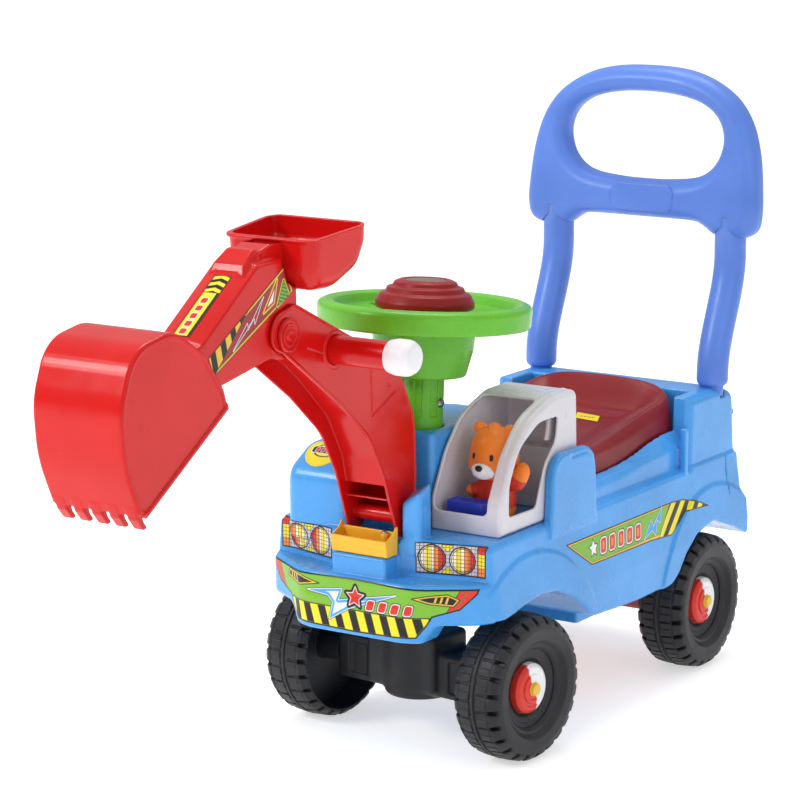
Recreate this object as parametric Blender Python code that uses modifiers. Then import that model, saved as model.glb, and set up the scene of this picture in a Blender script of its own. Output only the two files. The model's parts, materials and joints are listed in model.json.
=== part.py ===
"""Ride-on toy digger for a toddler: a body with a steered front axle, a seat lid, a cab, an arm and a handle.

Metres, +Z up. The truck faces -Y and its left side is +X. The shapes are drawn in the truck's own frame,
with y = 0 at the front axle. The empty digger_origin moves the middle of the footprint to the origin.
"""

import math

import bmesh
import bpy
from mathutils import Matrix, Vector

# Driving dimensions
ORIGIN_Y = 0.0265              # moves the truck so that its footprint is centred on the origin
GAP = 0.0003                   # clearance between pieces that touch
WHEEL_R = 0.065
FRONT_TRACK = 0.1065           # middle of a front tyre from the truck's centre
REAR_TRACK = 0.0975
REAR_AXLE_Y = 0.324
AXLE_R = 0.0032
KING_R = 0.0128                # king post that the front axle carrier turns on
KING_FACE = -0.2624            # underside of the boss it turns in, measured down the steering axis
COLUMN_R = 0.0195
SCREW_DOWN = -0.0890           # screw through column and king post, measured down the steering axis
SCREW_GAP_R = 0.0024
STEER_REST = math.radians(5.2)  # the front wheels rest turned this much to the driver's right
STEER_RAKE = math.radians(4.0)  # the steering axis leans back towards the seat
STEER_TOP = Vector((0.0, 0.010, 0.393))   # middle of the steering wheel's upper face
RIM_R = 0.0945
HORN_R = 0.044
BODY_HALF = 0.118              # body's half width at the wheel arches
BODY_TOP_HALF = 0.110          # and at the shoulder
WALL = 0.003
DECK_Z = 0.200                 # top of the front box that carries the cab
SHOULDER_Z = 0.197
SLOT_HALF = 0.029              # half width of the boom's slot
POST_X = 0.0955
POST_Y = 0.370
POST_R = 0.0135
TENON_R = 0.0108
HANDLE_Y = 0.403
HANDLE_HALF = 0.016
SEAT_LOW = 0.2168               # underside of the seat lid
SEAT_HINGE = Vector((0.0, 0.1335, 0.2225))
EAR_X = (0.0430, 0.0510)       # the two ears that hold the hinge pin
HINGE_PIN_R = 0.0020
PIN_GAP_R = 0.0023             # bore round a thin pin or screw
BOOM_PIVOT = Vector((0.0, -0.062, 0.2155))
ELBOW = Vector((0.0, -0.2325, 0.402))
BUCKET_PIVOT = Vector((0.0, -0.372, 0.392))
BOOM_HALF = 0.026
BOOM_WALL = 0.0025
STICK_HALF = 0.022
BUCKET_HALF = 0.047
BAR_Y, BAR_Z, BAR_R = -0.166, 0.3795, 0.0122
KNOB_R = 0.0157


# Scene helpers

def clear_scene():
    for obj in list(bpy.data.objects):
        bpy.data.objects.remove(obj, do_unlink=True)


def new_collection(name):
    collection = bpy.data.collections.new(name)
    bpy.context.scene.collection.children.link(collection)
    return collection


def plastic(name, colour, roughness=0.35, metallic=0.0):
    material = bpy.data.materials.new(name)
    material.use_nodes = True
    shader = material.node_tree.nodes["Principled BSDF"]
    shader.inputs["Base Color"].default_value = (*colour, 1.0)
    shader.inputs["Roughness"].default_value = roughness
    shader.inputs["Metallic"].default_value = metallic
    return material


clear_scene()
DIGGER = new_collection("ride_on_digger")
CUTTERS = new_collection("cutters")
BLUE = plastic("body_blue", (0.09, 0.33, 0.74), 0.28)
PERIWINKLE = plastic("handle_blue", (0.10, 0.22, 0.66), 0.35)
RED = plastic("digger_red", (0.60, 0.012, 0.010), 0.25)
SEAT_RED = plastic("seat_red", (0.22, 0.010, 0.014), 0.38)
GREEN = plastic("steering_green", (0.12, 0.43, 0.03), 0.30)
YELLOW = plastic("tray_yellow", (0.83, 0.46, 0.02), 0.35)
WHITE = plastic("cab_white", (0.62, 0.60, 0.62), 0.30)
ROYAL = plastic("console_blue", (0.03, 0.06, 0.55), 0.35)
ORANGE = plastic("bear_orange", (0.80, 0.20, 0.015), 0.45)
BLACK = plastic("tyre_black", (0.012, 0.012, 0.014), 0.55)
STEEL = plastic("steel", (0.55, 0.55, 0.56), 0.30, 1.0)
PIVOTS = {}


def pivot(name, point, parent="digger_origin", rotation=(0.0, 0.0, 0.0)):
    """An empty on a joint's axis, given in the truck's frame."""
    empty = bpy.data.objects.new(name, None)
    empty.empty_display_size = 0.02
    DIGGER.objects.link(empty)
    if name != "digger_origin":
        empty.parent = PIVOTS[parent][0]
        empty.location = Vector(point) - PIVOTS[parent][1]
        empty.rotation_euler = rotation
        PIVOTS[name] = (empty, Vector(point))
    else:
        empty.location = point
        PIVOTS[name] = (empty, Vector((0.0, 0.0, 0.0)))


def place(obj, name, material, on="digger_origin", local=False):
    """Names a piece and parents it; a piece drawn in the truck's frame is moved into its pivot's frame."""
    obj.name = name
    obj.data.name = name
    obj.data.materials.clear()
    obj.data.materials.append(material)
    empty, point = PIVOTS[on]
    obj.parent = empty
    if not local:
        obj.location = obj.location - point
    return obj


def as_cutter(obj, name, on="digger_origin", local=False):
    obj.name = name
    for collection in list(obj.users_collection):
        collection.objects.unlink(obj)
    CUTTERS.objects.link(obj)
    obj.hide_render = True
    obj.display_type = "WIRE"
    empty, point = PIVOTS[on]
    obj.parent = empty
    if not local:
        obj.location = obj.location - point
    return obj


def boolean(obj, other, operation="DIFFERENCE", solver="EXACT"):
    modifier = obj.modifiers.new(operation.lower(), "BOOLEAN")
    modifier.operation = operation
    modifier.object = other
    modifier.solver = solver
    return obj


def bevel(obj, width, segments=2, angle=35.0):
    modifier = obj.modifiers.new("rounded_edges", "BEVEL")
    modifier.width = width
    modifier.segments = segments
    modifier.limit_method = "ANGLE"
    modifier.angle_limit = math.radians(angle)
    return obj


# Shapes

def fillet(corners, steps=4):
    """The outline through corners (a, b) or (a, b, radius), with each radius drawn as an arc."""
    outline = []
    count = len(corners)
    for i, corner in enumerate(corners):
        here = Vector(corner[:2])
        if len(corner) == 2:
            outline.append(tuple(here))
            continue
        back = (Vector(corners[i - 1][:2]) - here).normalized()
        ahead = (Vector(corners[(i + 1) % count][:2]) - here).normalized()
        half = back.angle(ahead) / 2.0
        centre = here + (back + ahead).normalized() * corner[2] / math.sin(half)
        reach = corner[2] / math.tan(half)
        first = here + back * reach - centre
        last = here + ahead * reach - centre
        start = math.atan2(first.y, first.x)
        turn = (math.atan2(last.y, last.x) - start + math.pi) % (2.0 * math.pi) - math.pi
        for k in range(steps + 1):
            angle = start + turn * k / steps
            outline.append((centre.x + corner[2] * math.cos(angle), centre.y + corner[2] * math.sin(angle)))
    return outline


def keep_mesh(obj):
    """Swaps a curve object for a welded mesh object of the same shape."""
    depsgraph = bpy.context.evaluated_depsgraph_get()
    mesh = bpy.data.meshes.new_from_object(obj.evaluated_get(depsgraph))
    matrix = obj.matrix_world.copy()
    bpy.data.objects.remove(obj, do_unlink=True)
    shell = bmesh.new()
    shell.from_mesh(mesh)
    bmesh.ops.remove_doubles(shell, verts=shell.verts, dist=1e-6)
    bmesh.ops.transform(shell, matrix=matrix, verts=shell.verts)
    bmesh.ops.recalc_face_normals(shell, faces=shell.faces)
    shell.to_mesh(mesh)
    shell.free()
    solid = bpy.data.objects.new("piece", mesh)
    DIGGER.objects.link(solid)
    return solid


AXES = {
    "X": Matrix(((0, 0, 1), (1, 0, 0), (0, 1, 0))),   # outline in (y, z)
    "Y": Matrix(((1, 0, 0), (0, 0, -1), (0, 1, 0))),  # outline in (x, z)
    "Z": Matrix.Identity(3),                          # outline in (x, y)
}


def slab(corners, low, high, axis="X", steps=4):
    """A flat outline made solid between two planes across the given axis."""
    curve = bpy.data.curves.new("outline", "CURVE")
    curve.dimensions = "2D"
    curve.fill_mode = "BOTH"
    curve.extrude = (high - low) / 2.0
    points = fillet(corners, steps)
    spline = curve.splines.new("POLY")
    spline.points.add(len(points) - 1)
    for point, (a, b) in zip(spline.points, points):
        point.co = (a, b, 0.0, 1.0)
    spline.use_cyclic_u = True
    obj = bpy.data.objects.new("outline", curve)
    DIGGER.objects.link(obj)
    middle = (low + high) / 2.0
    offset = {"X": (middle, 0, 0), "Y": (0, middle, 0), "Z": (0, 0, middle)}[axis]
    obj.matrix_world = Matrix.Translation(offset) @ AXES[axis].to_4x4()
    bpy.context.view_layer.update()
    return keep_mesh(obj)


def box(x, y, z):
    """A block between the given (low, high) pairs."""
    mesh = bpy.data.meshes.new("block")
    shell = bmesh.new()
    bmesh.ops.create_cube(shell, size=1.0)
    size = Vector((x[1] - x[0], y[1] - y[0], z[1] - z[0]))
    middle = Vector((x[0] + x[1], y[0] + y[1], z[0] + z[1])) / 2.0
    bmesh.ops.scale(shell, vec=size, verts=shell.verts)
    bmesh.ops.translate(shell, vec=middle, verts=shell.verts)
    shell.to_mesh(mesh)
    shell.free()
    obj = bpy.data.objects.new("block", mesh)
    DIGGER.objects.link(obj)
    return obj


def turned(profile, steps=32, closed=False):
    """A profile of (radius, height) points, top to bottom on its outer side, turned about local Z."""
    mesh = bpy.data.meshes.new("profile")
    edges = [(i, i + 1) for i in range(len(profile) - 1)]
    if closed:
        edges.append((len(profile) - 1, 0))
    mesh.from_pydata([(r, 0.0, z) for r, z in profile], edges, [])
    obj = bpy.data.objects.new("turned", mesh)
    DIGGER.objects.link(obj)
    screw = obj.modifiers.new("turn", "SCREW")
    screw.steps = steps
    screw.render_steps = steps
    screw.use_merge_vertices = True
    screw.merge_threshold = 1e-5
    return obj


def rod(radius, low, high, axis="X", at=(0.0, 0.0), steps=16):
    """A round bar along an axis; at gives its other two coordinates in order."""
    obj = turned([(0.0, high), (radius, high), (radius, low), (0.0, low)], steps)
    if axis == "X":
        obj.rotation_euler = (0.0, math.radians(90.0), 0.0)
        obj.location = (0.0, at[0], at[1])
    elif axis == "Y":
        obj.rotation_euler = (math.radians(-90.0), 0.0, 0.0)
        obj.location = (at[0], 0.0, at[1])
    else:
        obj.location = (at[0], at[1], 0.0)
    return obj


def ball(centre, radii, rings=10):
    mesh = bpy.data.meshes.new("ball")
    shell = bmesh.new()
    bmesh.ops.create_uvsphere(shell, u_segments=2 * rings, v_segments=rings, radius=1.0)
    bmesh.ops.scale(shell, vec=Vector(radii), verts=shell.verts)
    bmesh.ops.translate(shell, vec=Vector(centre), verts=shell.verts)
    shell.to_mesh(mesh)
    shell.free()
    obj = bpy.data.objects.new("ball", mesh)
    DIGGER.objects.link(obj)
    return obj


def reshape(obj, rule):
    """Moves each point of a mesh by a rule that takes and gives a Vector."""
    for vertex in obj.data.vertices:
        vertex.co = rule(vertex.co.copy())
    return obj


def body_taper(point):
    """The body's sides lean in from the arches up to the shoulder."""
    share = min(max((point.z - 0.130) / (SHOULDER_Z - 0.130), 0.0), 1.0)
    point.x *= 1.0 - share * (1.0 - BODY_TOP_HALF / BODY_HALF)
    return point


# Body

SIDE_OUTLINE = [
    (-0.106, 0.168, 0.005), (-0.106, 0.132), (-0.050, 0.132), (-0.030, 0.134), (-0.006, 0.139),
    (0.020, 0.141), (0.046, 0.138), (0.067, 0.129, 0.03), (0.087, 0.116), (0.104, 0.102, 0.02),
    (0.120, 0.099), (0.193, 0.095), (0.254, 0.096, 0.02), (0.268, 0.104, 0.02), (0.283, 0.121, 0.03),
    (0.303, 0.134, 0.02), (0.342, 0.1405, 0.03), (0.384, 0.125, 0.03), (0.4085, 0.114),
    (0.410, 0.150), (0.402, 0.163), (0.400, SHOULDER_Z), (-0.060, SHOULDER_Z), (-0.060, 0.168),
]
CAVITY_OUTLINE = [
    (-0.050, 0.1375), (-0.006, 0.1430), (0.020, 0.1450), (0.048, 0.1415), (0.070, 0.1325),
    (0.108, 0.1060), (0.193, 0.0985), (0.252, 0.0995), (0.266, 0.1085), (0.281, 0.1250),
    (0.302, 0.1375), (0.342, 0.1440), (0.372, 0.1345), (0.386, 0.1340), (0.386, 0.1935), (-0.050, 0.1935),
]
PLAN_OUTLINE = [
    (-0.052, -0.106), (0.052, -0.106), (0.105, -0.073, 0.02), (0.130, -0.035, 0.03),
    (0.130, 0.400, 0.02), (0.118, 0.420), (-0.118, 0.420), (-0.130, 0.400, 0.02),
    (-0.130, -0.035, 0.03), (-0.105, -0.073, 0.02),
]


def body_skirt():
    skirt = reshape(slab(SIDE_OUTLINE, -BODY_HALF, BODY_HALF), body_taper)
    drop = slab([(-0.074, 0.150), (-0.072, 0.136), (-0.056, 0.116, 0.006), (0.056, 0.116, 0.006),
                 (0.072, 0.136), (0.074, 0.150)], -0.106, -0.075, "Y")
    boolean(skirt, as_cutter(drop, "bumper_drop"), "UNION", "MANIFOLD")
    plan = slab(PLAN_OUTLINE, 0.05, 0.25, "Z")
    return boolean(skirt, as_cutter(plan, "body_plan"), "INTERSECT", "MANIFOLD")


def front_box():
    corners = [(-0.1085, -0.056, 0.006), (-0.030, -0.077), (0.030, -0.077), (0.1085, -0.056, 0.006),
               (0.1085, 0.110), (-0.1085, 0.110)]
    return bevel(slab(corners, 0.155, DECK_Z, "Z"), 0.004)


def hood():
    corners = [(-0.068, 0.185), (-0.068, 0.246, 0.020), (-0.035, 0.264, 0.030), (0.020, 0.266),
               (0.085, 0.266, 0.010), (0.100, 0.256), (0.100, 0.185)]
    return bevel(slab(corners, -0.097, -SLOT_HALF), 0.007)


def dash():
    corners = [(-0.097, 0.185), (-0.097, 0.256, 0.02), (-0.060, 0.280, 0.04), (-0.020, 0.283),
               (0.0295, 0.283, 0.006), (0.0295, 0.185)]
    return bevel(slab(corners, -0.0245, 0.100, "Y"), 0.005)


def body_additions():
    """Each raised form of the body's upper side, with its name."""
    wing = bevel(box((SLOT_HALF, 0.055), (-0.074, -0.036), (0.185, 0.250)), 0.009, 2)
    pedestal = bevel(box((-0.028, 0.028), (-0.0975, -0.060), (0.150, 0.186)), 0.003)
    bulkhead = bevel(box((-0.1085, 0.1085), (0.088, 0.1255), (0.170, 0.252)), 0.007, 2)
    seat_base = bevel(box((-0.097, 0.097), (0.110, 0.330), (0.170, 0.2165)), 0.005)
    block = bevel(slab([(0.300, 0.170), (0.304, 0.265), (0.372, 0.265), (0.394, 0.257, 0.012),
                        (0.402, 0.170)], -0.1085, 0.1085), 0.008, 2)
    fins = []
    for side in (-1, 1):
        low, high = sorted((side * 0.1035, side * 0.1125))
        fins.append(bevel(slab([(0.038, 0.185), (0.043, 0.259, 0.022), (0.117, 0.259, 0.022),
                                (0.123, 0.185)], low, high), 0.003, 1))
    return {
        "front_box": front_box(), "hood": hood(), "dash": dash(), "wing": wing, "pedestal": pedestal,
        "bulkhead": bulkhead, "seat_base": seat_base, "rear_block": block,
        "fin_right": fins[0], "fin_left": fins[1],
    }


def body_cuts():
    """Each hollow and opening of the body, with its name."""
    cuts = {
        "main_cavity": reshape(slab(CAVITY_OUTLINE, -0.1142, 0.1142), body_taper),
        "seat_base_cavity": box((-0.0935, 0.0935), (0.147, 0.296), (0.185, 0.2135)),
        "hood_cavity": slab([(-0.063, 0.180), (-0.063, 0.243), (-0.034, 0.260), (0.090, 0.260),
                             (0.090, 0.180)], -0.0935, -SLOT_HALF - WALL),
        "dash_cavity": slab([(-0.0935, 0.180), (-0.0935, 0.250), (-0.058, 0.275), (-0.020, 0.2795),
                             (0.026, 0.2795), (0.026, 0.180)], -0.0210, 0.096, "Y"),
        "bulkhead_cavity": box((-0.104, 0.104), (0.094, 0.1205), (0.180, 0.248)),
        "hinge_groove": rod(0.0080, -0.088, 0.088, at=SEAT_HINGE.yz, steps=20),
        "block_cavity": box((-0.076, 0.076), (0.3425, 0.392), (0.180, 0.258)),
        "tub_opening": box((-0.0740, 0.0740), (0.1425, 0.2915), (0.080, 0.230)),
        "seat_recess": box((-0.0905, 0.0905), (0.290, 0.3400), (0.2165, 0.300)),
        "boom_slot": box((-SLOT_HALF, SLOT_HALF), (-0.130, -0.0245), (0.1965, 0.320)),
        "pin_socket": rod(0.0043, -0.039, 0.039, at=BOOM_PIVOT.yz),
        "rear_fixing": box((-0.030, 0.030), (0.3145, 0.3335), (0.120, 0.150)),
    }
    for side, word in ((-1, "right"), (1, "left")):
        cuts["post_socket_" + word] = rod(TENON_R + GAP, 0.2105, 0.300, "Z", at=(side * POST_X, POST_Y))
        cuts["post_screw_hole_" + word] = rod(0.0022, 0.372, 0.420, "Y", at=(side * POST_X, 0.235))
    return cuts


def body_lugs():
    """The two ears that hold the seat's hinge pin."""
    lugs = {}
    for side, word in ((-1, "right"), (1, "left")):
        low, high = sorted((side * EAR_X[0], side * EAR_X[1]))
        lugs["ear_" + word] = box((low, high), (0.1285, 0.1366), (0.2050, 0.2255))
    return lugs


def body_shell():
    """The solver is MANIFOLD, because EXACT drops the whole body where the hood meets the swept front."""
    body = body_skirt()
    for name, form in body_additions().items():
        boolean(body, as_cutter(form, "add_" + name), "UNION", "MANIFOLD")
    for name, form in body_cuts().items():
        boolean(body, as_cutter(form, "cut_" + name), solver="MANIFOLD")
    for name, form in body_lugs().items():
        boolean(body, as_cutter(form, "add_" + name), "UNION", "MANIFOLD")
    ear_bore = rod(PIN_GAP_R, -0.057, 0.057, at=SEAT_HINGE.yz, steps=12)
    boolean(body, as_cutter(ear_bore, "cut_ear_bore"), solver="MANIFOLD")
    boss = rod(0.0300, KING_FACE, KING_FACE + 0.0190, "Z", steps=24)
    boolean(body, as_cutter(boss, "add_king_boss", "steering_axis", local=True), "UNION", "MANIFOLD")
    king_bore = rod(0.0166, KING_FACE - 0.010, KING_FACE + 0.030, "Z", steps=24)
    boolean(body, as_cutter(king_bore, "cut_king_bore", "steering_axis", local=True), solver="MANIFOLD")
    bore = rod(COLUMN_R + 0.0009, -0.125, -0.100, "Z", steps=24)
    boolean(body, as_cutter(bore, "cut_column_bore", "steering_axis", local=True), solver="MANIFOLD")
    place(body, "body_shell", BLUE)


def under_body():
    tub = bevel(box((-0.0735, 0.0735), (0.143, 0.291), (0.086, 0.2135)), 0.003, 1)
    boolean(tub, as_cutter(box((-0.0710, 0.0710), (0.1455, 0.2885), (0.089, 0.230)), "cut_tub"))
    place(tub, "storage_tub", SEAT_RED)
    inner = KING_R + 0.0004
    face = KING_FACE - GAP
    bush = turned([(0.0163, face + 0.0170), (0.0163, face), (0.0250, face), (0.0250, face - 0.0030),
                   (inner, face - 0.0030), (inner, face + 0.0170)], 24, closed=True)
    place(bush, "king_bearing", BLACK, "steering_axis", local=True)


def rear_axle_parts():
    beam = bevel(box((-0.066, 0.066), (REAR_AXLE_Y - 0.016, REAR_AXLE_Y + 0.016), (0.050, 0.0840)), 0.004)
    tower = box((-0.040, 0.040), (REAR_AXLE_Y - 0.014, REAR_AXLE_Y + 0.014), (0.070, 0.1325))
    stub = box((-0.0297, 0.0297), (REAR_AXLE_Y - 0.0092, REAR_AXLE_Y + 0.0092), (0.120, 0.142))
    boolean(beam, as_cutter(tower, "rear_tower"), "UNION")
    boolean(beam, as_cutter(stub, "rear_stub"), "UNION")
    bore = rod(AXLE_R + GAP, -0.080, 0.080, at=(REAR_AXLE_Y, WHEEL_R))
    boolean(beam, as_cutter(bore, "cut_rear_axle"))
    place(beam, "rear_axle_carrier", BLACK)
    reach = REAR_TRACK + 0.0125
    place(rod(AXLE_R, -reach, reach, at=(REAR_AXLE_Y, WHEEL_R)), "rear_axle", STEEL)


# Wheels

TYRE_PROFILE = [
    (0.0037, 0.0100), (0.0238, 0.0100), (0.0250, 0.0125), (0.0360, 0.0145), (0.0420, 0.0195),
    (0.0540, 0.0205), (WHEEL_R, 0.0145), (WHEEL_R, -0.0145), (0.0590, -0.0205), (0.0565, -0.0205),
    (0.0565, 0.0060), (0.0140, 0.0040), (0.0120, -0.0205), (0.0037, -0.0205),
]
CAP_PROFILE = [
    (0.0, 0.0170), (0.0085, 0.0170), (0.0205, 0.0155), (0.0225, 0.0140), (0.0225, 0.0103),
    (0.0200, 0.0103), (0.0195, 0.0145), (0.0, 0.0145),
]
NUT_PROFILE = [(0.0, 0.0138), (0.0042, 0.0138), (0.0080, 0.0118), (0.0080, 0.0103), (0.0036, 0.0103),
               (0.0036, 0.0128), (0.0, 0.0128)]


def wheel(end, side, word, track):
    """A wheel and its hub cap on its own pivot, and the push nut that stays on the axle."""
    label = end + "_" + word
    turn = (0.0, side * math.radians(90.0), 0.0)
    if end == "front":
        spin = Vector((math.cos(STEER_REST), -math.sin(STEER_REST), 0.0)) * side * track
        turn = (Matrix.Rotation(-STEER_REST, 3, "Z") @ Matrix.Rotation(turn[1], 3, "Y")).to_euler()
        base, centre = "steering_axis_foot", Vector((0.0, 0.0, WHEEL_R)) + spin
    else:
        base, centre = "digger_origin", Vector((side * track, REAR_AXLE_Y, WHEEL_R))
    pivot("wheel_" + label, centre, base, turn)
    tyre = turned(TYRE_PROFILE, 24, closed=True)
    place(tyre, "tyre_" + label, BLACK, "wheel_" + label, local=True)
    cap = turned(CAP_PROFILE, 16)
    place(cap, "hub_cap_" + label, WHITE, "wheel_" + label, local=True)
    nut = turned(NUT_PROFILE, 8)
    place(nut, "axle_nut_" + label, STEEL, "wheel_" + label, local=True)


def wheels():
    for side, word in ((-1, "right"), (1, "left")):
        wheel("rear", side, word, REAR_TRACK)
        wheel("front", side, word, FRONT_TRACK)


# Steering, drawn about the raked axis with z = 0 at the steering wheel's upper face

def steering_wheel():
    rim = turned([
        (0.0880, 0.0000), (RIM_R, -0.0040), (0.0935, -0.0215), (0.0905, -0.0215), (0.0905, -0.0080),
        (0.0820, -0.0075), (0.0770, -0.0135), (0.0465, -0.0145), (0.0440, -0.0420), (0.0370, -0.0660),
        (0.0203, -0.0660), (0.0203, -0.0600), (0.0330, -0.0600), (0.0410, -0.0410), (0.0415, -0.0110),
        (0.0750, -0.0105), (0.0800, -0.0020),
    ], 32, closed=True)
    for k in range(3):
        window = slab([(0.0500, -0.019), (0.0720, -0.021, 0.006), (0.0720, 0.021, 0.006), (0.0500, 0.019)],
                      -0.030, 0.010, "Z")
        window.rotation_euler = (0.0, 0.0, math.radians(30.0 + 120.0 * k))
        boolean(rim, as_cutter(window, "cut_window_%d" % k, "steering_axis", local=True))
    place(rim, "steering_wheel", GREEN, "steering_axis", local=True)


def horn():
    button = turned([
        (0.0, 0.0180), (0.0190, 0.0180), (0.0280, 0.0160), (0.0355, 0.0120), (0.0415, 0.0060),
        (HORN_R - 0.0005, -0.0065), (0.0400, -0.0065), (0.0350, 0.0080), (0.0200, 0.0130),
        (0.0080, 0.0140), (0.0080, -0.0300), (0.0, -0.0300),
    ], 24)
    place(button, "horn_button", SEAT_RED, "steering_axis", local=True)
    guide = turned([(0.0, -0.0560), (0.0086, -0.0560), (0.0086, -0.0120), (0.0411, -0.0120),
                    (0.0411, -0.0145), (0.0118, -0.0145), (0.0118, -0.0590), (0.0, -0.0590)], 16)
    place(guide, "horn_guide", GREEN, "steering_axis", local=True)
    spring = bpy.data.curves.new("horn_spring", "CURVE")
    spring.dimensions = "3D"
    spring.bevel_depth = 0.0005
    spring.bevel_resolution = 1
    spring.use_fill_caps = True
    coils, per_coil, low, high = 4, 8, -0.0551, -0.0309
    spline = spring.splines.new("POLY")
    spline.points.add(coils * per_coil)
    for i, point in enumerate(spline.points):
        angle = 2.0 * math.pi * i / per_coil
        height = low + (high - low) * i / (coils * per_coil)
        point.co = (0.0060 * math.cos(angle), 0.0060 * math.sin(angle), height, 1.0)
    coil = bpy.data.objects.new("horn_spring", spring)
    DIGGER.objects.link(coil)
    place(coil, "horn_spring", STEEL, "steering_axis", local=True)


def steering_column():
    column = turned([(COLUMN_R, -0.0605), (COLUMN_R, -0.1600), (0.0132, -0.1600), (0.0132, -0.0605)], 20,
                    closed=True)
    for k in range(8):
        groove = box((COLUMN_R - 0.0014, 0.0300), (-0.0034, 0.0034), (-0.1010, -0.0675))
        groove.rotation_euler = (0.0, 0.0, math.radians(22.5 + 45.0 * k))
        boolean(column, as_cutter(groove, "cut_flute_%d" % k, "steering_axis", local=True))
    hole = rod(SCREW_GAP_R, -0.030, 0.030, "X", at=(0.0, SCREW_DOWN), steps=12)
    boolean(column, as_cutter(hole, "cut_screw_hole", "steering_axis", local=True))
    place(column, "steering_column", GREEN, "steering_axis", local=True)
    head = COLUMN_R + 0.0004
    screw = turned([(0.0, head + 0.0026), (0.0030, head + 0.0021), (0.0042, head), (0.0021, head),
                    (0.0021, -0.0180), (0.0, -0.0180)], 12)
    screw.rotation_euler = (0.0, math.radians(90.0), 0.0)
    screw.location = (0.0, 0.0, SCREW_DOWN)
    place(screw, "column_screw", STEEL, "steering_axis", local=True)


def front_axle_parts():
    """The king post fits up inside the column; its beam carries the axle under the deck."""
    post_profile = [(0.0, -0.0680), (0.0110, -0.0680), (KING_R, -0.0700), (KING_R, -0.3000), (0.0, -0.3000)]
    post = turned(post_profile, 20)
    king_turn = Matrix.Rotation(-STEER_REST, 4, "Z")
    hole = rod(SCREW_GAP_R, -0.030, 0.030, "X", at=(0.0, SCREW_DOWN), steps=12)
    boolean(post, as_cutter(hole, "cut_king_hole", "steering_axis", local=True))
    axle_line = Matrix.Translation((0.0, 0.0, WHEEL_R)) @ king_turn
    beam = bevel(box((-0.080, 0.080), (-0.019, 0.019), (-0.021, 0.020)), 0.004)
    beam.matrix_world = axle_line
    boolean(post, as_cutter(beam, "front_beam"), "UNION")
    drum = turned([(0.0, 0.0400), (0.0200, 0.0400), (0.0240, 0.0360), (0.0240, -0.0270), (0.0, -0.0270)], 20)
    drum.matrix_world = axle_line @ Matrix.Translation((0.0, -0.0080, 0.0))
    boolean(post, as_cutter(drum, "front_drum"), "UNION")
    bore = rod(AXLE_R + GAP, -0.100, 0.100)
    bore.matrix_world = axle_line @ Matrix.Rotation(math.radians(90.0), 4, "Y")
    boolean(post, as_cutter(bore, "cut_front_axle"))
    place(post, "front_axle_carrier", BLACK, "steering_axis", local=True)
    reach = FRONT_TRACK + 0.0125
    axle = rod(AXLE_R, -reach, reach)
    axle.matrix_world = axle_line @ Matrix.Rotation(math.radians(90.0), 4, "Y")
    place(axle, "front_axle", STEEL)


# Seat, handle and cab

def seat():
    """A saddle lid: a dished top with a raised lip round its back, hollow underneath."""
    count = 12
    mesh = bpy.data.meshes.new("seat")
    shell = bmesh.new()
    bmesh.ops.create_grid(shell, x_segments=count, y_segments=count, size=1.0)

    def top(u, v):
        """Point for u across and v along, both from -1 to 1: the square is drawn onto a rounded outline."""
        across = u * math.sqrt(1.0 - 0.42 * v * v)
        along = v * math.sqrt(1.0 - 0.35 * u * u)
        back = 0.5 + 0.5 * along
        half = 0.078 + 0.010 * min(1.0, 1.6 * back)
        edge = max(abs(u), abs(v))
        rim = max(0.0, 1.0 - ((1.0 - edge) / 0.16)) ** 2
        share = min(max((back - 0.22) / 0.66, 0.0), 1.0)
        lip = 0.049 * share * share * (3.0 - 2.0 * share) * edge ** 4
        dish = (0.024 + 0.010 * back * (1.0 - 0.5 * edge ** 2)) * (1.0 - 0.62 * rim)
        return Vector((half * across, 0.2325 + 0.1035 * along, SEAT_LOW + dish + lip))

    for vertex in shell.verts:
        vertex.co = top(vertex.co.x, vertex.co.y)
    faces = list(shell.faces)
    grown = bmesh.ops.extrude_face_region(shell, geom=faces, use_keep_orig=True)
    for item in grown["geom"]:
        if isinstance(item, bmesh.types.BMVert):
            item.co.z = SEAT_LOW
    bmesh.ops.recalc_face_normals(shell, faces=shell.faces)
    shell.to_mesh(mesh)
    shell.free()
    lid = bpy.data.objects.new("seat", mesh)
    DIGGER.objects.link(lid)
    boolean(lid, as_cutter(box((-0.070, 0.070), (0.146, 0.316), (0.200, 0.2330)), "cut_seat", "seat_hinge"))
    bore = rod(PIN_GAP_R, -0.100, 0.100, at=SEAT_HINGE.yz, steps=12)
    boolean(lid, as_cutter(bore, "cut_seat_pin", "seat_hinge"))
    place(lid, "seat_lid", SEAT_RED, "seat_hinge")
    place(rod(HINGE_PIN_R, -0.0525, 0.0525, at=SEAT_HINGE.yz, steps=12), "seat_hinge_pin", STEEL)


def half_loop(points, side):
    """Mirrors the right half of an outline for side -1 and keeps it for side 1."""
    return [(side * p[0], *p[1:]) for p in points]


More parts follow.
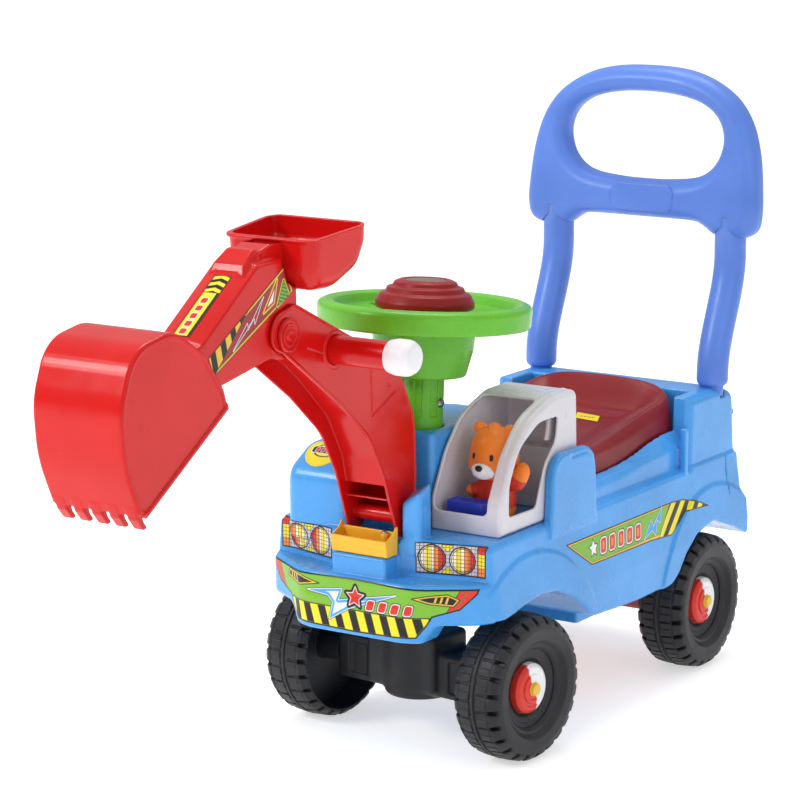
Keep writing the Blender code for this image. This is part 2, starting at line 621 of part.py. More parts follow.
def push_handle():
    half = [(0.000, 0.566), (0.060, 0.563), (0.117, 0.541, 0.045), (0.131, 0.470, 0.05),
            (0.128, 0.407, 0.006), (0.080, 0.407, 0.006), (0.073, 0.419, 0.008), (0.000, 0.419)]
    outline = half + list(reversed(half_loop(half[1:-1], -1)))
    loop = bevel(slab(outline, HANDLE_Y - HANDLE_HALF, HANDLE_Y + HANDLE_HALF, "Y"), 0.010, 2)
    inner = [(0.000, 0.456), (0.058, 0.457, 0.035), (0.088, 0.492, 0.034), (0.078, 0.533, 0.028),
             (0.000, 0.539)]
    hole_line = inner + list(reversed(half_loop(inner[1:-1], -1)))
    hole = slab(hole_line, HANDLE_Y - 0.030, HANDLE_Y + 0.030, "Y")
    boolean(loop, as_cutter(hole, "cut_grip"))
    for side, word in ((-1, "right"), (1, "left")):
        socket = rod(POST_R + GAP, 0.395, 0.4455, "Z", at=(side * POST_X, HANDLE_Y), steps=20)
        boolean(loop, as_cutter(socket, "cut_socket_" + word))
    place(loop, "handle_loop", PERIWINKLE)


def post_line(count=10):
    """Points (y, z, radius) up a post: straight, a smooth S towards the back, straight again."""
    points = [(POST_Y, 0.2115, TENON_R), (POST_Y, 0.2660, TENON_R), (POST_Y, 0.2690, 0.0122),
              (POST_Y, 0.2740, POST_R)]
    low, high = 0.300, 0.392
    for k in range(count + 1):
        share = k / count
        swing = share * share * (3.0 - 2.0 * share)
        points.append((POST_Y + (HANDLE_Y - POST_Y) * swing, low + (high - low) * share, POST_R))
    points.append((HANDLE_Y, 0.4450, POST_R))
    return points


def posts():
    for side, word in ((-1, "right"), (1, "left")):
        curve = bpy.data.curves.new("post", "CURVE")
        curve.dimensions = "3D"
        curve.bevel_depth = POST_R
        curve.bevel_resolution = 4
        curve.use_fill_caps = True
        spline = curve.splines.new("POLY")
        line = post_line()
        spline.points.add(len(line) - 1)
        for point, (y, z, radius) in zip(spline.points, line):
            point.co = (side * POST_X, y, z, 1.0)
            point.radius = radius / POST_R
        obj = bpy.data.objects.new("post", curve)
        DIGGER.objects.link(obj)
        post = keep_mesh(obj)
        hole = rod(0.0022, 0.355, 0.420, "Y", at=(side * POST_X, 0.235), steps=12)
        boolean(post, as_cutter(hole, "cut_post_" + word))
        place(post, "handle_post_" + word, PERIWINKLE)
        screw = turned([(0.0, 0.4050), (0.0030, 0.4045), (0.0040, 0.4025), (0.0019, 0.4025),
                        (0.0019, 0.3680), (0.0, 0.3680)], 12)
        screw.rotation_euler = (math.radians(-90.0), 0.0, 0.0)
        screw.location = (side * POST_X, 0.0, 0.235)
        place(screw, "post_screw_" + word, STEEL)


CAB_LOW = DECK_Z + GAP
BEAR = (0.068, 0.0155)         # middle of the bear's head, seen from above


def cab():
    outer = [(-0.031, CAB_LOW), (-0.031, 0.228, 0.020), (-0.010, 0.268, 0.060), (0.018, 0.296, 0.060),
             (0.058, 0.309, 0.040), (0.099, 0.310, 0.008), (0.1005, 0.2535), (0.0875, 0.2525),
             (0.0875, CAB_LOW)]
    shell = bevel(slab(outer, 0.0305, 0.1030, steps=5), 0.0035)
    inner = [(-0.028, 0.190), (-0.028, 0.228, 0.018), (-0.007, 0.266, 0.058), (0.019, 0.293, 0.058),
             (0.058, 0.306, 0.038), (0.096, 0.307, 0.006), (0.0975, 0.2560), (0.0845, 0.2560),
             (0.0845, 0.190)]
    boolean(shell, as_cutter(slab(inner, 0.0335, 0.1000, steps=5), "cut_cab"))
    screen = [(-0.060, 0.2135), (-0.006, 0.2135), (0.020, 0.260), (0.060, 0.290), (0.052, 0.330),
              (-0.060, 0.330)]
    boolean(shell, as_cutter(slab(screen, 0.0375, 0.0950), "cut_screen"))
    window = [(-0.014, 0.2165, 0.004), (-0.012, 0.252, 0.06), (0.008, 0.284, 0.03), (0.042, 0.297, 0.02),
              (0.070, 0.296, 0.005), (0.064, 0.270, 0.03), (0.045, 0.251, 0.03), (0.037, 0.219, 0.008)]
    boolean(shell, as_cutter(slab(window, 0.0900, 0.1100), "cut_window"))
    place(shell, "cab_shell", WHITE)
    console = bevel(box((0.0400, 0.0770), (-0.0185, -0.0015), (CAB_LOW, 0.2250)), 0.002, 1)
    place(console, "cab_console", ROYAL)


def bear():
    """A plain sitting bear: round head with ears and muzzle on a small round body with two arms."""
    x, y = BEAR
    torso = ball((x, y + 0.005, 0.226), (0.0165, 0.0150, 0.0250), 7)
    hips = ball((x, y + 0.003, 0.211), (0.0190, 0.0170, 0.0160), 7)
    boolean(torso, as_cutter(hips, "bear_hips"), "UNION")
    for side, lift in ((-1, -0.012), (1, 0.004)):
        arm = ball((x + side * 0.0185, y - 0.001, 0.234 + lift), (0.0105, 0.0065, 0.0075), 5)
        boolean(torso, as_cutter(arm, "bear_arm_%d" % side), "UNION")
    floor = box((x - 0.035, x + 0.030), (y - 0.040, y + 0.050), (0.180, CAB_LOW))
    boolean(torso, as_cutter(floor, "cut_bear_foot"))
    boolean(torso, as_cutter(ball((x, y, 0.266), (0.0243, 0.0223, 0.0223), 8), "cut_bear_neck"))
    place(torso, "bear_body", RED)
    head = ball((x, y, 0.266), (0.0240, 0.0220, 0.0220), 8)
    muzzle = ball((x, y - 0.019, 0.259), (0.0105, 0.0080, 0.0080), 5)
    boolean(head, as_cutter(muzzle, "bear_muzzle"), "UNION")
    for side in (-1, 1):
        ear = ball((x + side * 0.0155, y + 0.002, 0.2835), (0.0075, 0.0045, 0.0075), 5)
        boolean(head, as_cutter(ear, "bear_ear_%d" % side), "UNION")
    place(head, "bear_head", ORANGE)


def front_tray():
    low = 0.1863
    tray = bevel(slab([(-0.0975, low), (-0.0975, 0.2000), (-0.0850, 0.2060), (-0.0785, 0.2080),
                       (-0.0785, low)], -0.029, 0.029), 0.0015)
    boolean(tray, as_cutter(box((-0.0270, 0.0270), (-0.0955, -0.0803), (low + 0.002, 0.230)), "cut_tray"))
    place(tray, "front_tray", YELLOW)


# Digging arm

def boom():
    back = [(-0.222, 0.4265, 0.012), (-0.150, 0.3910, 0.06), (-0.098, 0.3660, 0.05),
            (-0.066, 0.3400, 0.04), (-0.046, 0.3000, 0.05), (-0.044, 0.2500, 0.04),
            (-0.0460, 0.2120, 0.012), (-0.0560, 0.1990, 0.012)]
    front = [(-0.0740, 0.1990, 0.010), (-0.0775, 0.2100), (-0.0860, 0.2320, 0.05), (-0.0940, 0.2550, 0.05),
             (-0.1160, 0.2940, 0.06), (-0.1600, 0.3320), (-0.2380, 0.3870), (-0.2700, 0.3925, 0.003),
             (-0.2600, 0.4160, 0.018)]
    shell = bevel(slab(back + front, -BOOM_HALF, BOOM_HALF, steps=3), 0.0015, 1)
    hollow = [(-0.300, 0.4600), (-0.2000, 0.4600), (-0.1900, 0.4075), (-0.150, 0.3880, 0.06),
              (-0.098, 0.3625, 0.05), (-0.0685, 0.3375, 0.04), (-0.0490, 0.2990, 0.05),
              (-0.0470, 0.2500, 0.04), (-0.0490, 0.2140, 0.012), (-0.0540, 0.1800), (-0.110, 0.1800),
              (-0.110, 0.2500), (-0.180, 0.3000), (-0.300, 0.3600)]
    channel = slab(hollow, BOOM_WALL - BOOM_HALF, BOOM_HALF - BOOM_WALL)
    boolean(shell, as_cutter(channel, "cut_boom", "boom_pivot"))
    ribs = [((-0.112, 0.2885), (-0.0470, 0.2630)), ((-0.146, 0.3230), (-0.0900, 0.3600))]
    for k, (start, end) in enumerate(ribs):
        along = (Vector(end) - Vector(start)).normalized() * 0.0015
        across = Vector((-along.y, along.x)) * 0.8
        a, b = Vector(start) + along, Vector(end) - along
        rib = slab([tuple(a - across), tuple(b - across), tuple(b + across), tuple(a + across)],
                   -0.0240, 0.0240)
        boolean(shell, as_cutter(rib, "boom_rib_%d" % k, "boom_pivot"), "UNION")
    for name, radius, at in (("base", 0.0037, BOOM_PIVOT.yz), ("elbow", 0.0063, ELBOW.yz),
                             ("bar", BAR_R + GAP, (BAR_Y, BAR_Z))):
        hole = rod(radius, -0.060, 0.060, at=at, steps=20)
        boolean(shell, as_cutter(hole, "cut_boom_" + name, "boom_pivot"))
    place(shell, "boom", RED, "boom_pivot")
    place(rod(0.0034, -0.0385, 0.0385, at=BOOM_PIVOT.yz), "boom_pin", STEEL)
    bar = rod(BAR_R, -0.0880, 0.0880, at=(BAR_Y, BAR_Z), steps=20)
    place(bar, "handle_bar", RED, "boom_pivot")
    for side, word in ((-1, "right"), (1, "left")):
        knob = turned([(0.0, 0.0315), (0.0085, 0.0310), (0.0135, 0.0270), (KNOB_R, 0.0190), (KNOB_R, 0.0110),
                       (0.0145, 0.0030), (BAR_R + GAP, 0.0), (BAR_R + GAP, 0.0096), (0.0, 0.0096)], 16)
        knob.rotation_euler = (0.0, side * math.radians(90.0), 0.0)
        knob.location = (side * 0.0788, BAR_Y, BAR_Z)
        place(knob, "handle_knob_" + word, WHITE, "boom_pivot")


def stick():
    corners = [(-0.391, 0.3760, 0.014), (-0.3850, 0.4020, 0.012), (-0.3430, 0.4130), (-0.2770, 0.4535),
               (-0.2640, 0.4700, 0.006), (-0.2350, 0.4725, 0.006), (-0.2235, 0.4450), (-0.2110, 0.4405),
               (-0.2105, 0.4130, 0.010), (-0.2200, 0.3795, 0.016), (-0.2500, 0.3850, 0.02),
               (-0.3220, 0.3730), (-0.3600, 0.3705)]
    shell = bevel(slab(corners, -STICK_HALF, STICK_HALF), 0.0020, 1)
    inner = [(-0.3520, 0.3770), (-0.3430, 0.4090), (-0.2770, 0.4490), (-0.2630, 0.4650), (-0.2400, 0.4670),
             (-0.2280, 0.4400), (-0.2200, 0.4360), (-0.2200, 0.4220), (-0.2500, 0.4080), (-0.2560, 0.3900),
             (-0.3200, 0.3775)]
    boolean(shell, as_cutter(slab(inner, -0.0195, 0.0195), "cut_stick", "elbow_pivot"))
    mouth = box((-0.0150, 0.0150), (-0.335, -0.275), (0.3600, 0.3900))
    boolean(shell, as_cutter(mouth, "cut_stick_underside", "elbow_pivot"))
    for name, radius, at in (("elbow", 0.0063, ELBOW.yz), ("bucket", 0.0043, BUCKET_PIVOT.yz)):
        hole = rod(radius, -0.060, 0.060, at=at, steps=20)
        boolean(shell, as_cutter(hole, "cut_stick_" + name, "elbow_pivot"))
    place(shell, "stick", RED, "elbow_pivot")
    pin = turned([(0.0, 0.0290), (0.0060, 0.0290), (0.0070, 0.0275), (0.0125, 0.0290), (0.0135, 0.0275),
                  (0.0135, 0.0263), (0.0060, 0.0263), (0.0060, -0.0263), (0.0125, -0.0263),
                  (0.0125, -0.0285), (0.0, -0.0285)], 20)
    pin.rotation_euler = (0.0, math.radians(90.0), 0.0)
    pin.location = ELBOW
    place(pin, "elbow_pin", RED, "boom_pivot")
    place(rod(0.0040, -0.0500, 0.0500, at=BUCKET_PIVOT.yz), "bucket_pin", RED, "elbow_pivot")


def scoop_taper(point):
    """The rear scoop widens from its front wall to its back wall."""
    share = (point.y + 0.222) / 0.070
    point.x *= 0.76 + 0.24 * share
    return point


def rear_scoop():
    outer = [(-0.2225, 0.4750), (-0.2160, 0.4430, 0.006), (-0.1900, 0.4460, 0.03), (-0.1620, 0.4610, 0.02),
             (-0.1520, 0.4810)]
    scoop = bevel(reshape(slab(outer, -0.0460, 0.0460, steps=5), scoop_taper), 0.0012, 1)
    inner = [(-0.2200, 0.5000), (-0.2195, 0.4740), (-0.2140, 0.4455, 0.005), (-0.1905, 0.4485, 0.03),
             (-0.1640, 0.4625, 0.018), (-0.1545, 0.4800), (-0.1480, 0.5000)]
    hollow = reshape(slab(inner, -0.0434, 0.0434, steps=5), scoop_taper)
    boolean(scoop, as_cutter(hollow, "cut_scoop", "elbow_pivot"))
    place(scoop, "rear_scoop", RED, "elbow_pivot")


def bucket():
    outer = [(-0.3380, 0.3620), (-0.3440, 0.3790), (-0.3680, 0.4110, 0.03), (-0.4060, 0.4350, 0.035),
             (-0.4560, 0.4270, 0.035), (-0.4730, 0.3830, 0.06), (-0.4690, 0.3380, 0.10), (-0.4520, 0.3000),
             (-0.4440, 0.2960)]
    shell = bevel(slab(outer, -BUCKET_HALF, BUCKET_HALF, steps=6), 0.0012, 1)
    inner = [(-0.3100, 0.3660), (-0.3380, 0.4500), (-0.4010, 0.4500), (-0.4045, 0.4325),
             (-0.4540, 0.4245, 0.033), (-0.4705, 0.3830, 0.06), (-0.4665, 0.3385, 0.10), (-0.4500, 0.3010),
             (-0.4360, 0.2800), (-0.4200, 0.2850)]
    hollow = slab(inner, 0.0025 - BUCKET_HALF, BUCKET_HALF - 0.0025, steps=6)
    boolean(shell, as_cutter(hollow, "cut_bucket", "bucket_pivot"))
    for k in range(5):
        x = -0.0376 + 0.0188 * k
        tooth = slab([(-0.4545, 0.3060), (-0.4505, 0.2955), (-0.4430, 0.2870, 0.002),
                      (-0.4390, 0.2880, 0.001), (-0.4450, 0.2960), (-0.4500, 0.3055)], x - 0.0052, x + 0.0052)
        boolean(shell, as_cutter(tooth, "bucket_tooth_%d" % k, "bucket_pivot"), "UNION")
    hole = rod(0.0043, -0.060, 0.060, at=BUCKET_PIVOT.yz, steps=20)
    boolean(shell, as_cutter(hole, "cut_bucket_pin", "bucket_pivot"))
    place(shell, "bucket", RED, "bucket_pivot")


def build():
    pivot("digger_origin", (0.0, ORIGIN_Y, 0.0))
    pivot("steering_axis", STEER_TOP, rotation=(-STEER_RAKE, 0.0, 0.0))
    pivot("steering_axis_foot", (0.0, 0.0, WHEEL_R))
    pivot("seat_hinge", SEAT_HINGE)
    pivot("boom_pivot", BOOM_PIVOT)
    pivot("elbow_pivot", ELBOW, "boom_pivot")
    pivot("bucket_pivot", BUCKET_PIVOT, "elbow_pivot")
    body_shell()
    under_body()
    rear_axle_parts()
    wheels()
    steering_wheel()
    horn()
    steering_column()
    front_axle_parts()
    seat()
    push_handle()
    posts()
    cab()
    bear()
    front_tray()
    boom()
    stick()
    rear_scoop()
    bucket()


build()
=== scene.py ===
"""Looks of the ride-on digger: moulded pieces, printed stickers, plastics, light and camera.

The pieces are drawn in the truck's own frame, where y = 0 at the front axle, and TRUCK_Y moves them into the
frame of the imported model. Most shapes are distance fields: a rule gives how far each point lies outside the
plastic, and surface() makes a mesh of its zero level. Stickers are painted on fine grids and laid on the pieces.
"""

import json
import math

import bmesh
import bpy
import numpy as np
from mathutils import Matrix, Vector


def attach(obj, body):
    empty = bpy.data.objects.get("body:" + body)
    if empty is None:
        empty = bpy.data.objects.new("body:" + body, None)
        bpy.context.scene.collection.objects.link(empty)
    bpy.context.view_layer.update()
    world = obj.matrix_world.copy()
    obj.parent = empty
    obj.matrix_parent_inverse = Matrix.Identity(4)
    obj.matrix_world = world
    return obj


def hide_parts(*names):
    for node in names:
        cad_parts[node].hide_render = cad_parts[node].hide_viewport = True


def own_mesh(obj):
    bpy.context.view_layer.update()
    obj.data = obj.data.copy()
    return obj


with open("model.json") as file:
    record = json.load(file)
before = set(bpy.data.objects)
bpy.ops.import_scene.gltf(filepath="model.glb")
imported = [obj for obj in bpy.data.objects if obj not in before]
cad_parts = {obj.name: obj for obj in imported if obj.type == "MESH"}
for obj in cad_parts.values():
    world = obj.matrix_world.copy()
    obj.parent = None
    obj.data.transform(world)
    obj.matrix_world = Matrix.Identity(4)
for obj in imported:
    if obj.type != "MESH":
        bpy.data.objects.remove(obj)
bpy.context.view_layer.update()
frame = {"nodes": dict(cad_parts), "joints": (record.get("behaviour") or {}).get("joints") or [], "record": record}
JOINTS = {joint["name"]: joint for joint in frame["joints"]}
NODES = frame["nodes"]

MM = 0.001    # outlines are lists of millimetres, and every other length is in metres

# Driving dimensions, in the truck's frame
FRONT_HUBS = [Vector(JOINTS["front_%s_spin" % word]["pos_m"]) for word in ("left", "right")]
TRUCK_Y = (FRONT_HUBS[0].y + FRONT_HUBS[1].y) / 2.0
WHEEL_R = FRONT_HUBS[0].z
TO_FRAME = Matrix.Translation((0.0, TRUCK_Y, 0.0))
STEER_TOP = Vector(JOINTS["steering_turn"]["pos_m"]) - Vector((0.0, TRUCK_Y, 0.0))
STEER_AXIS = Vector(JOINTS["steering_turn"]["axis"]).normalized()
STEER_LEAN = Vector((0, 0, 1)).rotation_difference(STEER_AXIS).to_matrix().to_4x4()
STEER_FRAME = TO_FRAME @ Matrix.Translation(STEER_TOP) @ STEER_LEAN
STEER_REST = math.radians(5.2)
BODY_HALF = 0.118
BODY_TOP_HALF = 0.11
SHOULDER_Z = 0.197
SLOT_HALF = 0.029
SEAT_LOW, SEAT_FLOOR = 0.2168, 0.2163
SEAT_HINGE = (0.1335, 0.2225)
POST_X, POST_Y, POST_R = 0.0955, 0.37, 0.0152
HANDLE_Y, HANDLE_HALF = 0.403, 0.016
BOOM_PIVOT = (-0.062, 0.2155)
ELBOW = (-0.2325, 0.402)
BUCKET_PIVOT = (-0.372, 0.392)
BAR_AT, BAR_R = (-0.166, 0.3795), 0.0122


# Colours

def srgb(red, green, blue):
    """Linear colour from screen values of 0 to 255."""
    return tuple((c / 255.0 / 12.92) if c <= 10 else ((c / 255.0 + 0.055) / 1.055) ** 2.4
                 for c in (red, green, blue))


INK = {
    "black": srgb(22, 20, 24), "green": srgb(122, 182, 52), "yellow": srgb(240, 222, 40),
    "red": srgb(214, 50, 38), "white": srgb(240, 240, 242), "blue": srgb(70, 165, 225),
    "silver": srgb(196, 196, 204), "orange": srgb(238, 140, 60), "cream": srgb(246, 232, 205),
    "maroon": srgb(160, 45, 55), "amber": srgb(228, 190, 60), "dark_green": srgb(60, 120, 50),
    "bear": srgb(238, 128, 42), "shirt": srgb(206, 52, 34),
}


# Distance fields. A shape is negative inside, and r is the radius of a rounded edge

def smooth(share):
    share = np.clip(share, 0.0, 1.0)
    return share * share * (3.0 - 2.0 * share)


def poly2(points, u, v):
    """Distance to a closed outline of (u, v) points."""
    nearest, inside = None, False
    for i, (ax, ay) in enumerate(points):
        bx, by = points[i - 1]
        ex, ey = bx - ax, by - ay
        wx, wy = u - ax, v - ay
        t = np.clip((wx * ex + wy * ey) / max(ex * ex + ey * ey, 1e-12), 0.0, 1.0)
        gap = (wx - ex * t) ** 2 + (wy - ey * t) ** 2
        nearest = gap if nearest is None else np.minimum(nearest, gap)
        above, below, left = v >= ay, v < by, ex * wy > ey * wx
        inside = inside ^ ((above & below & left) | (~above & ~below & ~left))
    return np.where(inside, -1.0, 1.0) * np.sqrt(nearest)


def meet(a, b, r):
    """Where both shapes are, with the edge between them rounded."""
    return np.minimum(-r, np.maximum(a, b)) + np.hypot(np.maximum(r + a, 0), np.maximum(r + b, 0))


def join(a, b, r):
    """Both shapes as one, with a fillet between them."""
    return np.maximum(r, np.minimum(a, b)) - np.hypot(np.maximum(r - a, 0), np.maximum(r - b, 0))


def cut(a, b, r=0.0005):
    return meet(a, -b, r)


def span(c, low, high):
    return np.abs(c - (low + high) / 2.0) - (high - low) / 2.0


def prism(outline, c, low, high, r=0.001):
    """A flat shape made solid between two values of the coordinate across it."""
    return meet(outline, span(c, low, high), r)


def block(x, y, z, xs, ys, zs, r=0.001):
    return meet(meet(span(x, *xs), span(y, *ys), r), span(z, *zs), r)


def ellipsoid(x, y, z, centre, radii):
    k = np.sqrt(((x - centre[0]) / radii[0]) ** 2 + ((y - centre[1]) / radii[1]) ** 2
                + ((z - centre[2]) / radii[2]) ** 2)
    return (k - 1.0) * min(radii)


def disc(u, v, centre, radius):
    return np.hypot(u - centre[0], v - centre[1]) - radius


def melt(a, b, r):
    """A soft union, as in vinyl figures."""
    h = np.clip(0.5 + 0.5 * (b - a) / r, 0.0, 1.0)
    return b * (1 - h) + a * h - r * h * (1 - h)


def mm(points):
    """Points in metres from points in millimetres."""
    return [tuple(c * MM for c in point) for point in points]


def fillet(corners, steps=6):
    """The outline through corners (a, b) or (a, b, radius) in millimetres, with each radius drawn as an arc."""
    corners, outline = mm(corners), []
    count = len(corners)
    for i, corner in enumerate(corners):
        here = Vector(corner[:2])
        if len(corner) == 2:
            outline.append(tuple(here))
            continue
        back = (Vector(corners[i - 1][:2]) - here).normalized()
        ahead = (Vector(corners[(i + 1) % count][:2]) - here).normalized()
        half = back.angle(ahead) / 2.0
        centre = here + (back + ahead).normalized() * corner[2] / math.sin(half)
        reach = corner[2] / math.tan(half)
        first, last = here + back * reach - centre, here + ahead * reach - centre
        start = math.atan2(first.y, first.x)
        turn = (math.atan2(last.y, last.x) - start + math.pi) % (2.0 * math.pi) - math.pi
        for k in range(steps + 1):
            angle = start + turn * k / steps
            outline.append((centre.x + corner[2] * math.cos(angle), centre.y + corner[2] * math.sin(angle)))
    return outline


def curve(points, steps=6):
    """A smooth closed outline through its points in millimetres."""
    points, outline = mm(points), []
    count = len(points)
    for i in range(count):
        a, b, c, d = (Vector(points[(i + k) % count]) for k in (-1, 0, 1, 2))
        for k in range(steps):
            t = k / steps
            outline.append(tuple(0.5 * (2.0 * b + (c - a) * t + (2.0 * a - 5.0 * b + 4.0 * c - d) * t * t
                                        + (3.0 * b - 3.0 * c + d - a) * t ** 3)))
    return outline


def mirrored(half):
    """A whole outline from its half at x >= 0, whose first and last points lie on x = 0."""
    return half + [(-p[0], *p[1:]) for p in reversed(half[1:-1])]


# Meshes

def show(name, data):
    """An object of a mesh, light or camera, put in the scene."""
    obj = bpy.data.objects.new(name, data)
    bpy.context.scene.collection.objects.link(obj)
    return obj


def shown_shell(name, shell, crease):
    """The object of a finished bmesh, smooth up to the crease angle."""
    mesh = bpy.data.meshes.new(name)
    shell.to_mesh(mesh)
    shell.free()
    mesh.shade_smooth()
    mesh.set_sharp_from_angle(angle=math.radians(crease))
    return show(name, mesh)


def add_mesh(name, points, quads, normals=None):
    mesh = bpy.data.meshes.new(name)
    mesh.vertices.add(len(points))
    mesh.vertices.foreach_set("co", np.asarray(points, np.float32).ravel())
    mesh.loops.add(quads.size)
    mesh.loops.foreach_set("vertex_index", quads.astype(np.int32).ravel())
    mesh.polygons.add(len(quads))
    mesh.polygons.foreach_set("loop_start", np.arange(0, quads.size, quads.shape[1], dtype=np.int32))
    mesh.update(calc_edges=True)
    mesh.validate()
    mesh.shade_smooth()
    if normals is not None and len(mesh.vertices) == len(normals):
        mesh.normals_split_custom_set_from_vertices(normals.tolist())
    return show(name, mesh)


CORNERS = [(i, j, k) for i in (0, 1) for j in (0, 1) for k in (0, 1)]


def surface(field, low, step):
    """Points, normals and quads of a field's zero level: one point in each cell that it crosses."""
    inside = field < 0
    cells = [n - 1 for n in field.shape]

    def at(array, corner):
        return array[tuple(slice(c, c + n) for c, n in zip(corner, cells))]

    count = sum(at(inside, corner).astype(np.uint8) for corner in CORNERS)
    where = np.nonzero((count > 0) & (count < 8))
    index = np.full(cells, -1, np.int32)
    index[where] = np.arange(len(where[0]))
    cell = np.stack(where, 1).astype(np.float64)
    value = {corner: at(field, corner)[where].astype(np.float64) for corner in CORNERS}
    total, hits, slope = np.zeros_like(cell), np.zeros(len(cell)), np.zeros_like(cell)
    for corner in CORNERS:
        for axis in range(3):
            if corner[axis]:
                continue
            far = tuple(c + (a == axis) for a, c in enumerate(corner))
            a, b = value[corner], value[far]
            slope[:, axis] += b - a
            crossed = (a < 0) != (b < 0)
            t = np.where(crossed, a / np.where(crossed, a - b, 1.0), 0.0)
            point = np.array(corner, float)[None, :].repeat(len(cell), 0)
            point[:, axis] += t
            total += point * crossed[:, None]
            hits += crossed
    points = (cell + total / hits[:, None]) * step + np.array(low)
    normals = slope / np.maximum(np.linalg.norm(slope, axis=1, keepdims=True), 1e-9)
    quads = []
    for axis in range(3):
        b, c = (axis + 1) % 3, (axis + 2) % 3
        near = [slice(None)] * 3
        far = [slice(None)] * 3
        near[axis], far[axis] = slice(0, -1), slice(1, None)
        for other in (b, c):
            near[other] = far[other] = slice(1, -1)
        s0, s1 = inside[tuple(near)], inside[tuple(far)]
        edge = np.stack(np.nonzero(s0 != s1), 1)
        first_in = s0[tuple(edge.T)]
        edge[:, b] += 1
        edge[:, c] += 1
        ring = []
        for db, dc in ((0, 0), (1, 0), (1, 1), (0, 1)):
            near_cell = edge.copy()
            near_cell[:, b] -= db
            near_cell[:, c] -= dc
            ring.append(index[tuple(near_cell.T)])
        quad = np.stack(ring, 1)
        quad[~first_in] = quad[~first_in][:, ::-1]
        quads.append(quad)
    return points, normals, np.concatenate(quads)


def sculpt(name, rule, low, high, step, matrix=TO_FRAME):
    """The mesh of a distance rule, drawn in the truck's frame or in the given local frame."""
    step *= 1.0
    axes = [np.arange(a - 2.5 * step, b + 3.0 * step, step, dtype=np.float32) for a, b in zip(low, high)]
    x, y, z = np.meshgrid(*axes, indexing="ij", sparse=True)
    field = rule(x, y, z)
    field = np.broadcast_to(field, [len(a) for a in axes])
    points, normals, quads = surface(field, [a[0] for a in axes], step)
    turn = np.array(matrix.to_3x3())
    points = points @ turn.T + np.array(matrix.translation)
    return add_mesh(name, points, quads, normals @ turn.T)


def turned(name, profile, matrix=TO_FRAME, steps=96):
    """A closed or axis-to-axis profile of (radius, height) points turned about local Z."""
    shell = bmesh.new()
    verts = [shell.verts.new((r, 0.0, h)) for r, h in profile]
    closed = min(r for r, _ in profile) > 1e-6
    edges = [shell.edges.new((verts[i], verts[i + 1])) for i in range(len(verts) - 1)]
    if closed:
        edges.append(shell.edges.new((verts[-1], verts[0])))
    bmesh.ops.spin(shell, geom=verts + edges, cent=(0, 0, 0), axis=(0, 0, 1), dvec=(0, 0, 0),
                   angle=2.0 * math.pi, steps=steps, use_merge=True)
    bmesh.ops.remove_doubles(shell, verts=shell.verts, dist=1e-7)
    bmesh.ops.recalc_face_normals(shell, faces=shell.faces)
    bmesh.ops.transform(shell, matrix=matrix, verts=shell.verts)
    return shown_shell(name, shell, 38.0)


def swept(name, path, radii, steps=40, matrix=TO_FRAME):
    """A round bar along a path of points, with its own radius at each."""
    points = [Vector(p) for p in path]
    rings = []
    side = (points[1] - points[0]).cross(Vector((1.0, 0.0, 0.0)))
    for i, point in enumerate(points):
        along = (points[min(i + 1, len(points) - 1)] - points[max(i - 1, 0)]).normalized()
        side = (side - along * side.dot(along)).normalized()
        other = along.cross(side)
        rings.append([matrix @ (point + (side * math.cos(t) + other * math.sin(t)) * radii[i])
                      for t in (2.0 * math.pi * k / steps for k in range(steps))])
    shell = bmesh.new()
    verts = [[shell.verts.new(p) for p in ring] for ring in rings]
    for low, high in zip(verts, verts[1:]):
        for k in range(steps):
            shell.faces.new((low[k - 1], low[k], high[k], high[k - 1]))
    for ring in (verts[0], verts[-1]):
        shell.faces.new(ring)
    bmesh.ops.recalc_face_normals(shell, faces=shell.faces)
    return shown_shell(name, shell, 50.0)


def points_of(obj):
    points = np.zeros(len(obj.data.vertices) * 3, np.float32)
    obj.data.vertices.foreach_get("co", points)
    return points.reshape(-1, 3)


def ink(obj, colours):
    """Gives each point of a mesh its own linear colour, which the printed materials read."""
    values = np.ones((len(colours), 4), np.float32)
    values[:, :3] = colours
    layer = obj.data.attributes.new("ink", "FLOAT_COLOR", "POINT")
    layer.data.foreach_set("color", values.ravel())


# Materials

